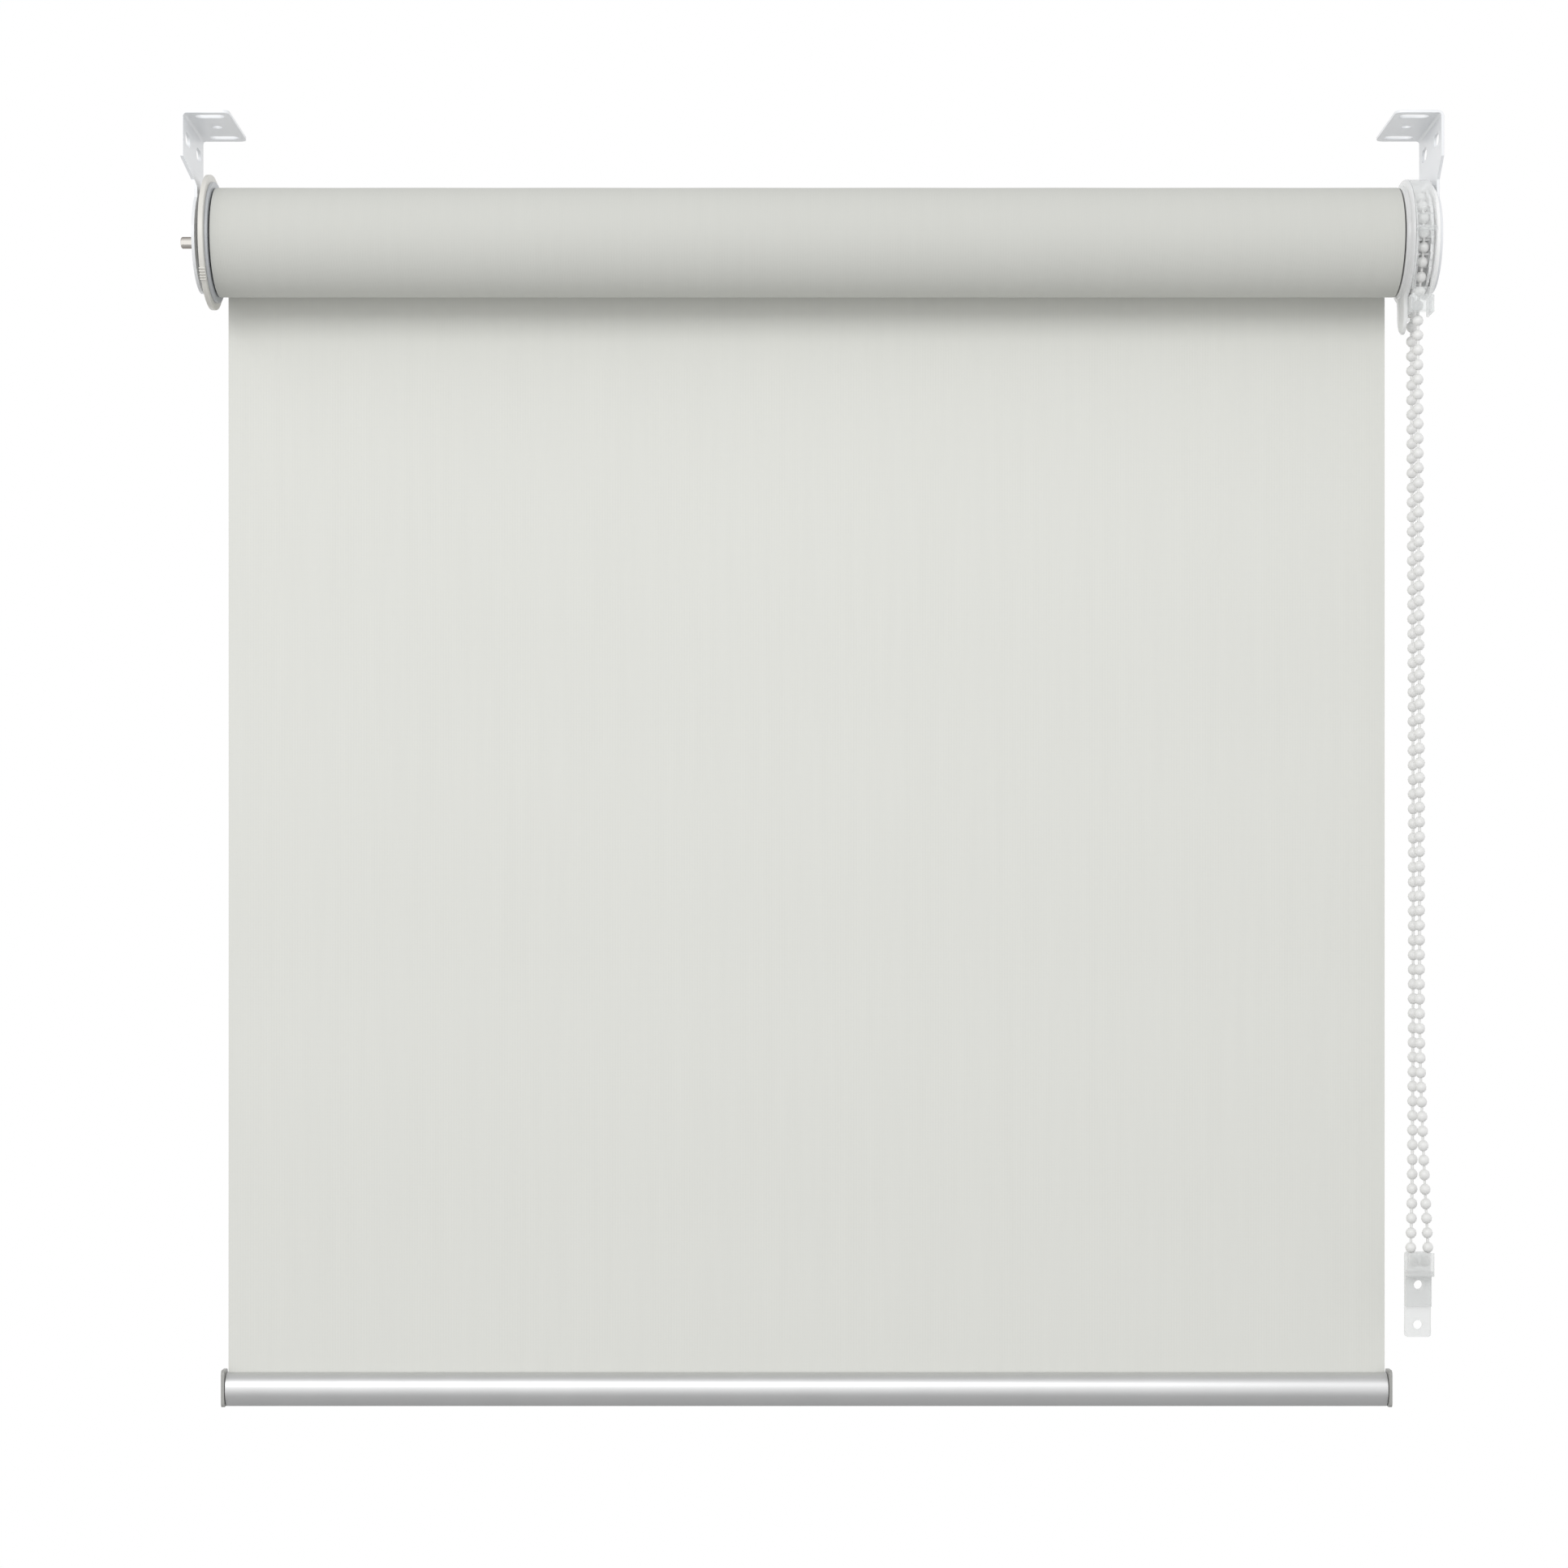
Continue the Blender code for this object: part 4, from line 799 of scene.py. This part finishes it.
def make_guard_plate():
    """The guard's inner plate, with the rounded shoulder and the lip that face the roll."""
    bm = merged("guard_inner_plate")
    left = min(v.co.x for v in bm.verts)
    rim = [e for e in bm.edges if all(abs(v.co.x - left) < 1e-5 for v in e.verts)
           and all(math.hypot(v.co.y, v.co.z - AXIS_Z) > SHOULDER_FROM for v in e.verts)]
    bmesh.ops.bevel(bm, geom=rim, offset=SHOULDER, segments=4, profile=0.5, affect="EDGES",
                    clamp_overlap=True, material=-1)
    reach = left - FABRIC_RIGHT - ROLL_GAP
    print("lip", round(reach, 5), "of a gap of", round(left - FABRIC_RIGHT, 5))
    add_mesh(bm, spun([(left + LIP_SINK, ROLL_R - LIP_DEEP), (left + LIP_SINK, ROLL_R + 0.9 * MM),
                       (left - reach * 0.6, ROLL_R + 0.6 * MM), (left - reach, ROLL_R - 0.1 * MM),
                       (left - reach, ROLL_R - LIP_DEEP)]))
    return piece("guard_plate", bm, "ceiling_frame", cloudy_plastic, ["guard_inner_plate"])


make_sprocket()
make_guard()
make_guard_plate()

# %% [markdown]
# ## Idle end
# The guard disc carries a group of grip ribs on its rim, low on the room side. The plug's flange is
# drawn out until a tenth of a millimetre is left to the disc, and the pin's outer end is drawn in.

# %% Guard disc, plug and pin
disc_low, disc_high = (Vector(c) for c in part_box("idle_guard_disc"))
DISC_R = (disc_high.z - disc_low.z) / 2
DISC_T = 2.0 * MM
GRIP_RIBS = 5
GRIP_FROM = 124             # degrees from the top, towards the room
GRIP_STEP = 2.6
GRIP_RIB = (DISC_T + 0.5 * MM, 0.6 * MM, 1.2 * MM)
FLANGE_OUT = 0.2 * MM
PIN_IN = 1.1 * MM


def drawn_end(node, depth, shift):
    """A copy of a frame node whose left end, to the given depth, is moved along the roller's axis."""
    bm = merged(node)
    end = min(v.co.x for v in bm.verts)
    for vert in bm.verts:
        if vert.co.x < end + depth:
            vert.co.x += shift
    return bm


def make_disc():
    bm = merged("idle_guard_disc")
    x = disc_high.x - DISC_T / 2
    for k in range(GRIP_RIBS):
        angle = math.radians(GRIP_FROM + GRIP_STEP * k)
        add_block(bm, GRIP_RIB, about_axis(angle, DISC_R, x), 0.2 * MM)
    return piece("idle_disc", bm, "ceiling_frame", milky_plastic, ["idle_guard_disc"])


plug = piece("tube_plug", drawn_end("idle_plug", 0.1 * MM, -FLANGE_OUT), "roller", smoky_plastic,
             ["idle_plug"])
print("disc to flange", round(min(v.co.x for v in plug.data.vertices) - disc_high.x, 5))
pin = piece("nickel_pin", drawn_end("idle_pin", 1 * MM, PIN_IN), "idle_pin", nickel, ["idle_pin"])
disc = make_disc()
soften(disc, 0.3 * MM, 60, False)

# %% [markdown]
# ## Carried-over pieces
# These frame nodes have the right shape. Those that show get soft edges as well as their finish.

# %% Brackets, drive unit, rail and holder
SOFT = {
    "bracket_idle": ("ceiling_frame", white_paint, "painted_steel", 0.00022),
    "bracket_drive": ("ceiling_frame", white_paint, "painted_steel", 0.00022),
    "clutch_base": ("ceiling_frame", frosted_plastic, "milky_plastic", 0.0003),
    "holder_base": ("ceiling_frame", holder_plastic, "clear_plastic", 0.00025),
    "holder_cover": ("ceiling_frame", holder_plastic, "clear_plastic", 0.00025),
    "rail_bar": ("bottom_rail", satin_aluminium, "rail_metal", 0.00015),
    "rail_cap_left": ("bottom_rail", cap_plastic, "cap_plastic", 0.0003),
    "rail_cap_right": ("bottom_rail", cap_plastic, "cap_plastic", 0.0003),
    "drive_hub": ("roller", frosted_plastic, "milky_plastic", 0.0002),
}
for node, (body, skin, slot_name, width) in SOFT.items():
    softened(node, body, skin, width)

KEPT = {"pin_retainer": dark_plastic, "roller_tube": mill_aluminium, "fabric_spline": white_plastic,
        "wrap_spring_inner": spring_steel, "wrap_spring_outer": spring_steel, "clutch_clip": spring_steel,
        "pin_spring": spring_steel, "rail_hem_strip": white_plastic}
for node, skin in KEPT.items():
    NODES[node].data.materials.clear()
    NODES[node].data.materials.append(skin)
